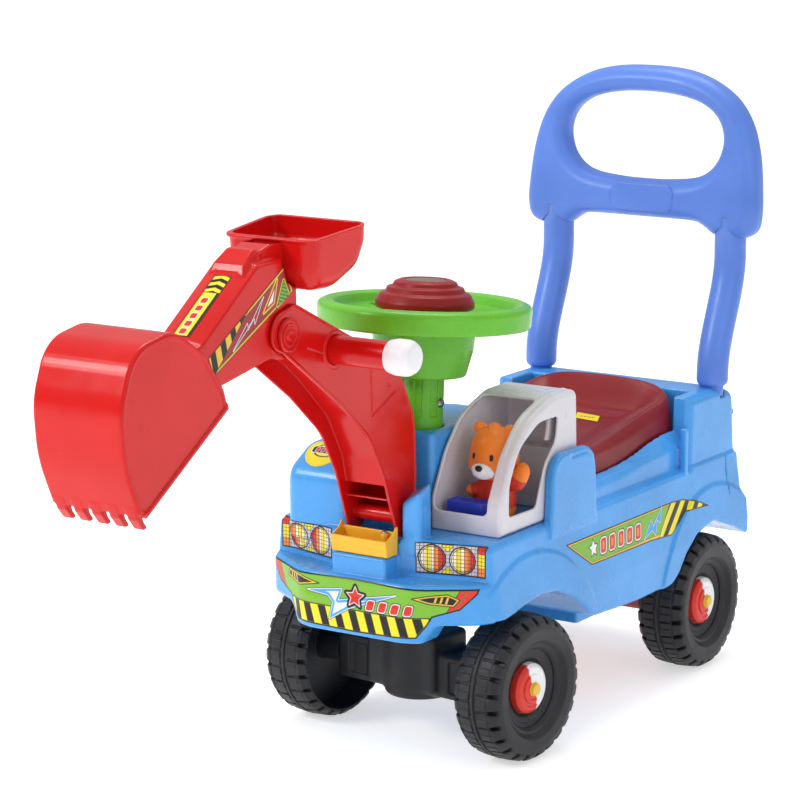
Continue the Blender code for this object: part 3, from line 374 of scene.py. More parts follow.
def plastic(name, colour=None, roughness=0.3, grain=0.05, bump=0.00012, wear=0.25, coat=0.0, speckle=0.012,
            gloss=0.35):
    """Moulded plastic: faint colour clouds, uneven gloss, a fine moulded skin and paler worn edges.
    With no colour it takes the printed colours of the mesh."""
    material = bpy.data.materials.new(name)
    material.use_nodes = True
    tree = material.node_tree
    shader = tree.nodes["Principled BSDF"]

    def node(kind, **values):
        made = tree.nodes.new("ShaderNode" + kind)
        for key, value in values.items():
            if key in made.inputs:
                made.inputs[key].default_value = value
            else:
                setattr(made, key, value)
        return made

    def mix(factor, a, b, blend="MIX"):
        made = node("Mix", data_type="RGBA", blend_type=blend)
        for socket, value in ((0, factor), (6, a), (7, b)):
            if isinstance(value, (int, float)):
                made.inputs[socket].default_value = value
            elif isinstance(value, tuple):
                made.inputs[socket].default_value = (*value, 1.0)
            else:
                tree.links.new(value, made.inputs[socket])
        return made.outputs[2]

    def spread(source, low, high, to_low, to_high):
        made = node("MapRange")
        tree.links.new(source, made.inputs["Value"])
        for key, value in (("From Min", low), ("From Max", high), ("To Min", to_low), ("To Max", to_high)):
            made.inputs[key].default_value = value
        return made.outputs["Result"]

    place = node("TexCoord").outputs["Object"]

    def noise(size, detail=3.0):
        made = node("TexNoise", Scale=size, Detail=detail, Roughness=0.55)
        tree.links.new(place, made.inputs["Vector"])
        return made.outputs["Fac"]

    if colour is None:
        base = node("Attribute", attribute_name="ink").outputs["Color"]
    else:
        dark = tuple(c * (1.0 - 2.2 * grain) for c in colour)
        pale = tuple(min(1.0, c * (1.0 + 1.6 * grain) + 0.15 * grain) for c in colour)
        base = mix(spread(noise(14.0), 0.3, 0.7, 0.0, 1.0), dark, pale)
    if speckle:
        dust = spread(noise(900.0, 2.0), 0.6, 0.8, 0.0, speckle)
        base = mix(dust, base, tuple([0.75] * 3))
    if wear:
        edge = spread(node("NewGeometry").outputs["Pointiness"], 0.53, 0.62, 0.0, 1.0)
        patchy = spread(noise(60.0), 0.42, 0.66, 0.0, wear)
        both = node("Math", operation="MULTIPLY")
        tree.links.new(edge, both.inputs[0])
        tree.links.new(patchy, both.inputs[1])
        base = mix(both.outputs[0], base, tuple([0.8] * 3))
    tree.links.new(base, shader.inputs["Base Color"])
    rough = spread(noise(45.0, 4.0), 0.25, 0.75, max(0.02, roughness - 0.06), roughness + 0.09)
    tree.links.new(rough, shader.inputs["Roughness"])
    if bump:
        skin = node("Bump", Strength=0.35, Distance=bump)
        fine = node("Math", operation="ADD")
        tree.links.new(noise(1500.0, 2.0), fine.inputs[0])
        wave = node("Math", operation="MULTIPLY")
        tree.links.new(noise(38.0, 2.0), wave.inputs[0])
        wave.inputs[1].default_value = 0.5
        tree.links.new(wave.outputs[0], fine.inputs[1])
        tree.links.new(fine.outputs[0], skin.inputs["Height"])
        tree.links.new(skin.outputs["Normal"], shader.inputs["Normal"])
    shader.inputs["Specular IOR Level"].default_value = gloss
    shader.inputs["Coat Weight"].default_value = coat
    shader.inputs["Coat Roughness"].default_value = 0.12
    return material


def metal(name, colour, roughness):
    material = plastic(name, colour, roughness, grain=0.1, bump=0.00006, wear=0.4)
    material.node_tree.nodes["Principled BSDF"].inputs["Metallic"].default_value = 1.0
    return material


PAINT = {
    "body_blue": plastic("body_blue", srgb(66, 154, 228), 0.24, coat=0.2),
    "handle_blue": plastic("handle_blue", srgb(88, 128, 214), 0.34, grain=0.04),
    "digger_red": plastic("digger_red", srgb(205, 14, 12), 0.2, grain=0.03, coat=0.12, speckle=0.006, gloss=0.25),
    "seat_red": plastic("seat_red", srgb(128, 16, 22), 0.32, gloss=0.25),
    "horn_red": plastic("horn_red", srgb(140, 14, 18), 0.32, gloss=0.25),
    "steering_green": plastic("steering_green", srgb(98, 182, 40), 0.26),
    "tray_yellow": plastic("tray_yellow", srgb(244, 184, 44), 0.3),
    "cab_white": plastic("cab_white", srgb(214, 211, 217), 0.27, grain=0.02),
    "knob_white": plastic("knob_white", srgb(232, 232, 236), 0.38, grain=0.02),
    "console_blue": plastic("console_blue", srgb(46, 70, 202), 0.32),
    "bear_orange": plastic("bear_orange", srgb(238, 128, 42), 0.4, wear=0.1),
    "bear_shirt": plastic("bear_shirt", srgb(206, 52, 34), 0.42, wear=0.1),
    "tyre_black": plastic("tyre_black", srgb(26, 26, 30), 0.44, grain=0.12, bump=0.0002, wear=0.12,
                          speckle=0.01, gloss=0.3),
    "carrier_black": plastic("carrier_black", srgb(22, 22, 26), 0.5, grain=0.12, bump=0.0002, speckle=0.01,
                             gloss=0.3),
    "tub_red": plastic("tub_red", srgb(170, 24, 22), 0.42),
    "hub_cap": plastic("hub_cap", srgb(228, 226, 226), 0.3),
    "horn_disc": plastic("horn_disc", srgb(112, 88, 80), 0.3),
    "steel": metal("steel", srgb(150, 150, 152), 0.34),
    "print": plastic("print", None, 0.3, bump=0.00003, wear=0.0, speckle=0.02),
    "painted": plastic("painted", None, 0.36, bump=0.00008, wear=0.1),
}


def stand_for(obj, body, slot_name, *nodes, paint=None):
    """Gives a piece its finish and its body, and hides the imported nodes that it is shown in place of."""
    obj.data.materials.clear()
    obj.data.materials.append(PAINT[paint or slot_name])
    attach(obj, body)
    if nodes:
        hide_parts(*nodes)


# Body

SIDE_OUTLINE = fillet([
    (-106, 168, 5), (-106, 132), (-50, 132), (-30, 134), (-6, 139), (20, 141), (46, 138), (67, 129, 30), (87, 116),
    (104, 102, 20), (120, 99), (193, 95), (254, 96, 20), (268, 104, 20), (283, 121, 30), (303, 134, 20),
    (342, 140.5, 30), (384, 125, 30), (408.5, 114), (410, 150), (402, 163), (400, SHOULDER_Z / MM),
    (-60, SHOULDER_Z / MM), (-60, 168),
])
PLAN_OUTLINE = fillet(mirrored([
    (0, -106), (52, -106, 40), (105, -73, 20), (130, -35, 30), (130, 400, 20), (118, 420), (0, 420),
]))
FLARES = (((0.005, 0.065), 0.116), ((0.341, 0.066), 0.109))    # centre and radius of the raised arch panels
FLARE_STEP = 0.0024


def body_half(y, z):
    """The body's half width at a point of its flank: raised round the arches, leaning in to the shoulder."""
    lean = np.clip((z - 0.13) / (SHOULDER_Z - 0.13), 0.0, 1.0)
    raised = 0.0
    for centre, radius in FLARES:
        raised = np.maximum(raised, smooth(-disc(y, z, centre, radius) / 0.005 + 0.5))
    return BODY_HALF + (BODY_TOP_HALF - BODY_HALF) * lean - FLARE_STEP * (1.0 - raised) * (1.0 - 0.5 * lean)


def body_rule(x, y, z):
    """The blow-moulded body: lower shell, bumper drop, hood, dash, cab base, ledges, rear block and fins."""
    across = np.abs(x)
    shape = meet(poly2(SIDE_OUTLINE, y, z), across - body_half(y, z), 0.0035)
    drop = fillet([(-78.5, 150), (-77, 136), (-64.5, 116, 6), (64.5, 116, 6), (77, 136), (78.5, 150)])
    shape = join(shape, prism(poly2(drop, x, z), y, -0.13, -0.07, 0.003), 0.003)
    shape = meet(shape, poly2(PLAN_OUTLINE, x, y), 0.005)
    front = fillet([(-108.5, -56, 6), (-30, -77), (30, -77), (108.5, -56, 6), (108.5, 110), (-108.5, 110)])
    shape = join(shape, prism(poly2(front, x, y), z, 0.15, 0.2, 0.0035), 0.002)
    side = fillet([(-68, 185), (-68, 246, 20), (-35, 264, 30), (20, 266), (85, 266, 10), (100, 256), (100, 185)])
    shape = join(shape, prism(poly2(side, y, z), x, -0.097, -SLOT_HALF, 0.0105), 0.002)
    dash = fillet([(-97, 185), (-97, 256, 20), (-60, 280, 40), (-20, 283), (29.5, 283, 6), (29.5, 185)])
    shape = join(shape, prism(poly2(dash, x, z), y, -0.0245, 0.1, 0.006), 0.002)
    wing = block(x, y, z, (SLOT_HALF, 0.0485), (-0.0745, -0.054), (0.185, 0.3), 0.004)
    slope = (z - 0.23 - 0.62 * (x - SLOT_HALF) - 0.37 * (y + 0.0745)) * 0.8
    wing = meet(wing, slope, 0.003)
    shape = join(shape, wing, 0.0015)
    shape = join(shape, block(x, y, z, (-0.028, 0.028), (-0.0975, -0.06), (0.15, 0.186), 0.003), 0.0015)
    shape = join(shape, block(x, y, z, (-0.1085, 0.1085), (0.088, 0.1255), (0.17, 0.252), 0.0075), 0.002)
    shape = join(shape, block(x, y, z, (-0.095, 0.095), (0.088, 0.118), (0.2, 0.256), 0.006), 0.002)
    base = meet(across - 0.097, span(y, 0.11, 0.33), 0.002)
    shape = np.minimum(shape, meet(base, z - SEAT_FLOOR, 0.0008))
    climb = smooth((y - 0.165) / 0.125)
    ledge_top = 0.2158 + 0.018 * climb + (-0.0075 - 0.005 * climb) * np.clip((across - 0.0895) / 0.0075, 0.0, 1.0)
    ledge = meet(meet(span(across, 0.0886, 0.0975), span(y, 0.11, 0.33), 0.001), (z - ledge_top) * 0.7, 0.0018)
    shape = join(shape, meet(ledge, 0.175 - z, 0.001), 0.01)
    rear = fillet([(300, 170), (304, 265), (372, 265), (394, 257, 12), (402, 170)])
    rear_half = 0.109 - 0.0016 * smooth((z - 0.198) / 0.002)
    shape = join(shape, meet(poly2(rear, y, z), across - rear_half, 0.0085), 0.0015)
    bead = block(across, y, z, (0.103, 0.1092), (0.2918, 0.2985), (0.195, 0.238), 0.0012)
    shape = join(shape, bead, 0.001)
    fin = poly2(fillet([(38, 185), (43, 259, 22), (117, 259, 22), (123, 185)]), y, z)
    rim = smooth((fin + 0.0066) / 0.001) * smooth((y - 0.07) / 0.006)
    shape = join(shape, meet(fin, span(across, 0.1035, 0.1128) + 0.0011 * rim, 0.0028), 0.001)
    seam = block(across, y, z, (0.1, 0.2), (0.3729, 0.3741), (0.16, 0.1985), 0.0002)
    shape = cut(shape, seam, 0.0004)
    screw_boss = meet(disc(across, z, (POST_X, 0.235), 0.0075), span(y, 0.38, 0.4018), 0.001)
    shape = join(shape, screw_boss, 0.002)
    return body_hollows(shape, x, y, z)


def about_steering(y, z):
    """How far points lie up the steering axis from its top, and away from it in y and z."""
    up = (y - STEER_TOP.y) * STEER_AXIS.y + (z - STEER_TOP.z) * STEER_AXIS.z
    return up, y - STEER_TOP.y - up * STEER_AXIS.y, z - STEER_TOP.z - up * STEER_AXIS.z


def body_hollows(shape, x, y, z):
    """The boom's slot, the storage opening, the seat's recess and hinge, and the steering and post holes."""
    across = np.abs(x)
    shape = cut(shape, block(x, y, z, (-SLOT_HALF, SLOT_HALF), (-0.13, -0.0245), (0.1965, 0.32), 0.002), 0.0012)
    shape = cut(shape, block(x, y, z, (-0.074, 0.074), (0.1425, 0.2915), (0.07, 0.23), 0.003), 0.001)
    shape = cut(shape, block(x, y, z, (-0.0886, 0.0886), (0.12, 0.3405), (SEAT_FLOOR, 0.32), 0.003), 0.0015)
    groove = meet(disc(y, z, SEAT_HINGE, 0.008), across - 0.088, 0.001)
    shape = cut(shape, groove, 0.0008)
    ears = block(across, y, z, (0.043, 0.051), (0.1285, 0.1366), (0.205, 0.2255), 0.0008)
    shape = np.minimum(shape, ears)
    up, off_y, off_z = about_steering(y, z)
    from_axis = np.sqrt(x ** 2 + off_y ** 2 + off_z ** 2)
    shape = join(shape, meet(from_axis - 0.03, span(up, -0.2624, -0.2434), 0.001), 0.001)
    shape = cut(shape, meet(from_axis - 0.0166, span(up, -0.28, -0.23), 0.0005))
    shape = cut(shape, meet(from_axis - 0.0206, span(up, -0.17, -0.09), 0.0005), 0.0015)
    post = np.hypot(across - POST_X, y - POST_Y) - 0.0112
    shape = cut(shape, meet(post, 0.256 - z, 0.0005), 0.0012)
    shape = cut(shape, block(across, y, z, (0.102, 0.115), (-0.056, -0.026), (0.115, 0.1347), 0.003), 0.003)
    return cut(shape, block(x, y, z, (-0.03, 0.03), (0.3145, 0.3335), (0.12, 0.15), 0.001))


def make_body():
    body = sculpt("body_fine", body_rule, (-0.119, -0.107, 0.094), (0.119, 0.411, 0.284), 0.0016)
    stand_for(body, "chassis", "body_blue", "body_shell")


# Push handle, posts and seat

LOOP_OUTER = curve(mirrored([
    (0, 565), (28, 564), (50, 560.5), (68, 554.5), (84, 546), (98, 535), (110, 519), (118, 500), (123.5, 476),
    (126.2, 450), (127, 428), (123.5, 413), (113, 406), (97, 404.5), (81, 407), (70, 414), (60, 418.2), (40, 419),
    (0, 419)]), 4)
LOOP_HOLE = curve(mirrored([
    (0, 540.2), (30, 538.5), (56, 533), (73, 524), (83, 511.4), (86.1, 495.5), (81.2, 478.5), (70, 466.2),
    (54, 459.5), (26, 456.2), (0, 455.5)]), 4)


def loop_rule(x, y, z):
    """The push handle: a flat round-edged loop leaning back, with a panel on its front and post sockets."""
    y = y - 0.09 * np.maximum(z - 0.43, 0.0)
    flat = np.maximum(poly2(LOOP_OUTER, x, z), -poly2(LOOP_HOLE, x, z))
    shape = meet(flat, np.abs(y - HANDLE_Y) - HANDLE_HALF, 0.014)
    pad = meet(np.abs(x - 0.006) - 0.0335, np.abs(z - 0.4395) - 0.0133, 0.009)
    panel = prism(pad, y, HANDLE_Y - HANDLE_HALF - 0.001, HANDLE_Y, 0.0007)
    groove = np.abs(pad - 0.0012) - 0.0004
    shape = cut(shape, prism(groove, y, HANDLE_Y - 0.03, HANDLE_Y - HANDLE_HALF + 0.0007, 0.0001), 0.0004)
    shape = np.minimum(shape, panel)
    socket = meet(np.hypot(np.abs(x) - POST_X, y - HANDLE_Y) - POST_R - 0.0002, z - 0.4255, 0.0005)
    return cut(shape, socket, 0.001)


def post_path():
    """Points (y, z, radius) up a post: a rounded foot on its tenon, then a smooth S towards the back."""
    path = [(POST_Y, 0.2565, 0.0108), (POST_Y, 0.2655, 0.0108)]
    for k in range(9):
        angle = math.pi / 2.0 * k / 8
        path.append((POST_Y, 0.2662 + 0.006 * (1.0 - math.cos(angle)), 0.0108 + (POST_R - 0.0108) * math.sin(angle)))
    low, high = 0.277, 0.388
    for k in range(25):
        share = k / 24.0
        path.append((POST_Y + (HANDLE_Y - POST_Y) * float(smooth(share)), low + (high - low) * share, POST_R))
    path.append((HANDLE_Y, 0.425, POST_R))
    return path


def make_handle():
    loop = sculpt("handle_loop_fine", loop_rule, (-0.132, 0.385, 0.404), (0.132, 0.434, 0.567), 0.0011)
    stand_for(loop, "chassis", "handle_blue", "handle_loop")
    path = post_path()
    for side, word in ((-1, "right"), (1, "left")):
        post = swept("post_%s_fine" % word, [(side * POST_X, y, z) for y, z, _ in path], [r for _, _, r in path])
        stand_for(post, "chassis", "handle_blue", "handle_post_" + word)


SEAT_PLAN = fillet([(-87.6, 130, 30), (87.6, 130, 30), (87.6, 336.5, 38), (-87.6, 336.5, 38)], 10)


def seat_top(x, y, inset):
    """Height of the saddle: a dished pan with a round lip that climbs and arches at the back."""
    back = smooth((y - 0.165) / 0.16)
    arch = np.sqrt(np.clip(1.0 - np.clip(np.abs(x) / 0.0885, 0.0, 1.0) ** 3, 0.0, 1.0))
    pan = 0.2385 + 0.005 * back - 0.0035 * smooth(1.0 - np.hypot(np.abs(x) - 0.04, (y - 0.185) * 0.7) / 0.045)
    rim = 0.242 + 0.035 * back * arch
    top = pan + (rim - pan) * (1.0 - smooth(inset / 0.052)) + 0.0015 * (1.0 - smooth(inset / 0.02))
    line = 0.0009 * np.exp(-((inset - 0.011) / 0.001) ** 2) + 0.0009 * np.exp(-((inset - 0.04) / 0.0012) ** 2)
    return top - line * smooth((y - 0.215) / 0.04)


def seat_rule(x, y, z):
    """The seat: a shell under the saddle's surface, open below."""
    plan = poly2(SEAT_PLAN, x, y)
    slant = plan + 0.1 * (z - SEAT_LOW)
    shape = meet(slant, (z - seat_top(x, y, -plan)) * 0.82, 0.0075)
    shape = meet(shape, SEAT_LOW - z, 0.001)
    under = meet(plan + 0.006, z - 0.23, 0.003)
    return cut(shape, under, 0.001)


def make_seat():
    seat = sculpt("seat_fine", seat_rule, (-0.088, 0.129, 0.2165), (0.088, 0.337, 0.28), 0.0012)
    stand_for(seat, "seat", "seat_red", "seat_lid")


# Cab and bear

def cab_rule(x, y, z):
    """The cab: a rounded shell open at the front and at the side, with a thin ridge over its roof."""
    outer = fillet([(-31, 200.3), (-31, 228, 20), (-10, 268, 60), (18, 296, 60), (58, 309, 40), (99, 310, 8),
                    (100.5, 253.5, 2), (87.5, 252.5, 4), (87.5, 200.3)])
    shape = prism(poly2(outer, y, z), x, 0.0305, 0.103, 0.0042)
    inner = fillet([(-28.2, 190), (-28.2, 228, 18), (-7, 266, 58), (19, 293, 58), (58, 306, 38), (96, 307, 6),
                    (97.5, 256), (84.5, 256), (84.5, 190)])
    shape = cut(shape, prism(poly2(inner, y, z), x, 0.0333, 0.1002, 0.003), 0.0005)
    screen = fillet([(-60, 217.6), (-6, 217.6), (20, 260), (55, 290), (47, 330), (-60, 330)])
    shape = cut(shape, prism(poly2(screen, y, z), x, 0.0352, 0.0885, 0.006), 0.0014)
    ridge = prism(poly2(outer, y, z) - 0.0006, x, 0.09, 0.094, 0.0006)
    shape = np.minimum(shape, np.maximum(ridge, 0.268 - z) + 0.0 * x)
    window = fillet([(-16.5, 216, 4), (-15.8, 244, 30), (0, 273, 40), (33, 290.5, 30), (66, 290.5, 3),
                     (63, 269, 20), (44, 252, 30), (29, 215.5, 6)])
    return cut(shape, prism(poly2(window, y, z), x, 0.09, 0.12, 0.001), 0.0014)


BEAR_AT = (0.068, 0.0155)


def head_parts(x, y, z):
    """Distances to the bear's skull, ears, muzzle, nose and eyes."""
    cx, cy = BEAR_AT
    z = z + 0.004
    skull = ellipsoid(x, y, z, (cx, cy, 0.266), (0.0215, 0.02, 0.0215))
    skull = melt(skull, ellipsoid(x, y, z, (cx, cy + 0.001, 0.2745), (0.018, 0.0175, 0.015)), 0.008)
    skull = melt(skull, ellipsoid(x, y, z, (cx, cy - 0.004, 0.2565), (0.02, 0.0165, 0.011)), 0.008)
    ears = ellipsoid(np.abs(x - cx), y, z, (0.015, cy + 0.002, 0.2868), (0.0068, 0.0042, 0.0068))
    ears = melt(ears, ellipsoid(x, y, z, (cx + 0.001, cy - 0.001, 0.2895), (0.0058, 0.005, 0.005)), 0.002)
    muzzle = ellipsoid(x, y, z, (cx, cy - 0.018, 0.2545), (0.0108, 0.0085, 0.0078))
    nose = ellipsoid(x, y, z, (cx, cy - 0.0262, 0.258), (0.0034, 0.0022, 0.0028))
    eyes = ellipsoid(np.abs(x - cx), y, z, (0.0088, cy - 0.0186, 0.2668), (0.0017, 0.0022, 0.003))
    return skull, ears, muzzle, nose, eyes


def head_rule(x, y, z):
    skull, ears, muzzle, nose, eyes = head_parts(x, y, z)
    shape = melt(melt(skull, ears, 0.003), muzzle, 0.002)
    return np.minimum(np.minimum(shape, nose), eyes)


def torso_rule(x, y, z):
    cx, cy = BEAR_AT
    torso = ellipsoid(x, y, z, (cx, cy + 0.003, 0.233), (0.017, 0.0145, 0.017))
    torso = melt(torso, ellipsoid(x, y, z, (cx, cy + 0.002, 0.216), (0.019, 0.0165, 0.017)), 0.008)
    for side in (-1, 1):
        leg = ellipsoid(x, y, z, (cx + side * 0.012, cy - 0.012, 0.2085), (0.0085, 0.0145, 0.008))
        torso = melt(torso, leg, 0.004)
    raised = ellipsoid(x, y, z, (cx + 0.0215, cy - 0.002, 0.2405), (0.011, 0.0062, 0.0085))
    hand = ellipsoid(x, y, z, (cx + 0.0288, cy + 0.0, 0.25), (0.0066, 0.006, 0.0078))
    lowered = ellipsoid(x, y, z, (cx - 0.017, cy - 0.005, 0.229), (0.0075, 0.008, 0.006))
    arms = np.minimum(melt(raised, hand, 0.005), lowered)
    return meet(melt(torso, arms, 0.004), 0.2006 - z, 0.0004)


def make_cab():
    cab = sculpt("cab_fine", cab_rule, (0.03, -0.0315, 0.2), (0.1035, 0.101, 0.3105), 0.0009)
    stand_for(cab, "chassis", "cab_white", "cab_shell")

    def console_rule(x, y, z):
        shape = block(x, y, z, (0.04, 0.077), (-0.0185, -0.0015), (0.2003, 0.225), 0.0016)
        return cut(shape, block(x, y, z, (0.0425, 0.0745), (-0.016, -0.004), (0.2238, 0.23), 0.001), 0.0004)

    console = sculpt("console_fine", console_rule, (0.04, -0.019, 0.2), (0.077, -0.001, 0.225), 0.0008)
    stand_for(console, "chassis", "console_blue", "cab_console")
    head = sculpt("bear_head_fine", head_rule, (0.044, -0.014, 0.239), (0.092, 0.037, 0.291), 0.00055)
    x, y, z = points_of(head).T
    y = y - TRUCK_Y
    skull, ears, muzzle, nose, eyes = head_parts(x, y, z)
    colours = np.tile(np.array(INK["bear"]), (len(x), 1))
    colours[muzzle < np.minimum(skull, ears) - 0.0002] = INK["white"]
    colours[np.minimum(nose, eyes) < 0.0001] = INK["black"]
    ink(head, colours)
    stand_for(head, "chassis", "bear_orange", "bear_head", paint="painted")
    torso = sculpt("bear_body_fine", torso_rule, (0.04, -0.014, 0.2005), (0.104, 0.036, 0.259), 0.0006)
    x, y, z = points_of(torso).T
    y = y - TRUCK_Y
    colours = np.tile(np.array(INK["shirt"]), (len(x), 1))
    hand = ellipsoid(x, y, z, (BEAR_AT[0] + 0.03, BEAR_AT[1], 0.251), (0.0105, 0.0105, 0.011))
    paw = ellipsoid(x, y, z, (BEAR_AT[0] - 0.0215, BEAR_AT[1] - 0.009, 0.227), (0.0075, 0.0075, 0.0075))
    colours[(z < 0.2165) | (hand < 0) | (paw < 0)] = INK["bear"]
    ink(torso, colours)
    stand_for(torso, "chassis", "bear_shirt", "bear_body", paint="painted")


# Steering

def wheel_rule(x, y, z):
    """The steering wheel about its own axis, with z = 0 at its upper face."""
    out = np.hypot(x, y)
    profile = fillet([
        (87, 0, 3), (94.5, -3, 5), (93.5, -21.5, 1.8), (90.3, -21.5), (90.5, -8), (82, -7.5), (77, -13.5, 3),
        (46.5, -14.5, 3), (44.2, -42, 10), (38, -66, 3), (20.3, -66), (20.3, -60), (33, -60), (41, -41),
        (41.5, -11), (75, -10.5, 3), (80, -2, 3),
    ], 4)
    shape = poly2(profile, out, z)
    for k in range(3):
        angle = math.radians(30.0 + 120.0 * k)
        along, across = x * math.cos(angle) + y * math.sin(angle), y * math.cos(angle) - x * math.sin(angle)
        window = poly2(fillet([(50, -19, 2), (72, -21, 6), (72, 21, 6), (50, 19, 2)]), along, across)
        shape = cut(shape, np.maximum(window, span(z, -0.03, 0.01)), 0.0008)
    return shape


def column_rule(x, y, z):
    out = np.hypot(x, y)
    shape = meet(out - 0.0195, span(z, -0.16, -0.0605), 0.0005)
    angle = np.arctan2(y, x)
    pitch = math.pi / 4.0
    around = (np.mod(angle, pitch) - pitch / 2.0) * out
    flute = meet(np.abs(around) - 0.0036, span(z, -0.101, -0.05), 0.0015)
    shape = cut(shape, np.maximum(flute, 0.0181 - out), 0.0006)
    return np.maximum(shape, 0.0132 - out)


HORN_PROFILE = fillet([
    (0, 17), (18.5, 17, 1), (19, 18.2, 0.8), (22.5, 18.2, 1.5), (27.5, 16, 2), (29, 12.8, 1), (33.5, 11.5, 2),
    (35.5, 7.5, 1), (40, 5.8, 4), (43.8, -1, 4), (43.5, -6.5, 0.8), (40, -6.5), (35, 8), (20, 13), (8, 14),
    (8, -30), (0, -30),
], 5)


def make_steering():
    rim = sculpt("steering_wheel_fine", wheel_rule, (-0.095, -0.095, -0.067), (0.095, 0.095, 0.001), 0.0011,
                 STEER_FRAME)
    stand_for(rim, "steering", "steering_green", "steering_wheel")
    column = sculpt("column_fine", column_rule, (-0.02, -0.02, -0.161), (0.02, 0.02, -0.06), 0.0007,
                    STEER_FRAME)
    stand_for(column, "steering", "steering_green", "steering_column")
    stand_for(turned("horn_fine", HORN_PROFILE, STEER_FRAME), "horn", "horn_red", "horn_button")
    disc_profile = fillet([(0, 18.1), (12, 18.1), (17.8, 17.6, 0.4), (17.8, 17.1), (0, 17.1)], 3)
    badge = turned("horn_disc", disc_profile, STEER_FRAME, 64)
    stand_for(badge, "horn", "knob_white", paint="horn_disc")
    coils, per_coil, foot, height = 6, 24, -0.0551, 0.0242
    helix = [(0.006 * math.cos(t), 0.006 * math.sin(t), foot + height * t / (2.0 * math.pi * coils))
             for t in (2.0 * math.pi * i / per_coil for i in range(coils * per_coil + 1))]
    spring = swept("spring_fine", helix, [0.0005] * len(helix), 10, STEER_FRAME)
    stand_for(spring, "steering", "steel", "horn_spring")
    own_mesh(spring)


def carrier_rule(x, y, z):
    """The front axle's carrier, turned with the wheels about the upright."""
    c, s = math.cos(STEER_REST), math.sin(STEER_REST)
    u, v = x * c - y * s, x * s + y * c
    shape = block(u, v, z, (-0.08, 0.08), (-0.019, 0.019), (0.044, 0.085), 0.004)
    shape = join(shape, block(u, v, z, (-0.041, 0.036), (-0.026, 0.024), (0.047, 0.1), 0.005), 0.004)
    shape = join(shape, meet(np.hypot(u, v) - 0.0315, span(z, 0.04, 0.097), 0.004), 0.004)
    up, off_y, _ = about_steering(y, z)
    shape = join(shape, meet(np.hypot(x, off_y) - 0.0128, span(up, -0.3, -0.24), 0.001), 0.001)
    for low, high in ((-0.066, -0.046), (0.046, 0.066)):
        pocket = block(u, v, z, (low, high), (-0.03, -0.0165), (0.05, 0.079), 0.002)
        shape = cut(shape, pocket, 0.0015)
    return shape


def make_axles():
    carrier = sculpt("front_carrier_fine", carrier_rule, (-0.082, -0.036, 0.039), (0.082, 0.036, 0.154), 0.0013)
    stand_for(carrier, "steering", "carrier_black", "front_axle_carrier")


# Wheels, drawn about local Z with the outer side up

LUGS = 26
TYRE_PROFILE = fillet([
    (3.7, 10), (23.8, 10, 1), (26.2, 12.5, 2), (33.5, 15, 3), (37.5, 19.5, 2), (40, 19.2, 1), (44, 23.8, 3),
    (53, 24.6, 5), (60, 23.2, 3), (63.6, 18, 2), (WHEEL_R / MM - 0.8, 15), (WHEEL_R / MM, 4), (WHEEL_R / MM, -3),
    (WHEEL_R / MM - 0.8, -14), (63.6, -17, 2), (59, -23, 2), (56.5, -22.5), (56.5, 6), (14, 4), (12, -20.5),
    (3.7, -20.5),
], 4)


def tyre_rule(x, y, z):
    """A tyre with a middle rib, offset rows of blocks, notched shoulders and ringed walls."""
    out, wide = np.hypot(x, y), np.abs(z)
    shape = poly2(TYRE_PROFILE, out, z)
    turn = np.arctan2(y, x) / (2.0 * math.pi) * LUGS
    from_gap = (np.mod(turn + np.where(z > 0, 0.0, 0.5), 1.0) - 0.5) * (2.0 * math.pi / LUGS) * out
    gap = meet(np.abs(from_gap) - 0.0007, 0.063 - out, 0.0003)
    shape = cut(shape, meet(gap, 0.0034 - wide, 0.0002), 0.0004)
    slope = from_gap / 0.0076
    blocky = (0.0004 * slope + 0.0004) * smooth((wide - 0.003) / 0.001) * smooth((0.0165 - wide) / 0.001)
    shape = np.where(out > 0.06, shape + blocky, shape)
    notch = meet(np.abs(from_gap) - 0.0017 - 0.05 * (wide - 0.015), 0.0575 - out, 0.001)
    shape = cut(shape, meet(notch, 0.015 - wide, 0.0005), 0.001)
    for low, high in ((0.0014, 0.0034), (0.0142, 0.0156)):
        shape = cut(shape, meet(span(wide, low, high), 0.0632 - out, 0.0003), 0.0005)
    for radius in (0.03, 0.0345):
        ring = np.hypot(out - radius, z - 0.0142 - (radius - 0.03) * 0.25) - 0.0006
        shape = cut(shape, ring, 0.0004)
    return shape


CAP_PROFILE = fillet([
    (0, 23), (5.2, 23, 1.2), (6, 19.6, 0.5), (9.6, 19), (10.1, 19.8, 0.3), (12.8, 19.4, 0.3), (13.2, 18.2),
    (15.8, 17.9), (16.3, 18.7, 0.3), (19, 18, 1), (22.2, 15.8, 2), (22.5, 10.3), (20, 10.3), (19.5, 14), (0, 14),
], 3)


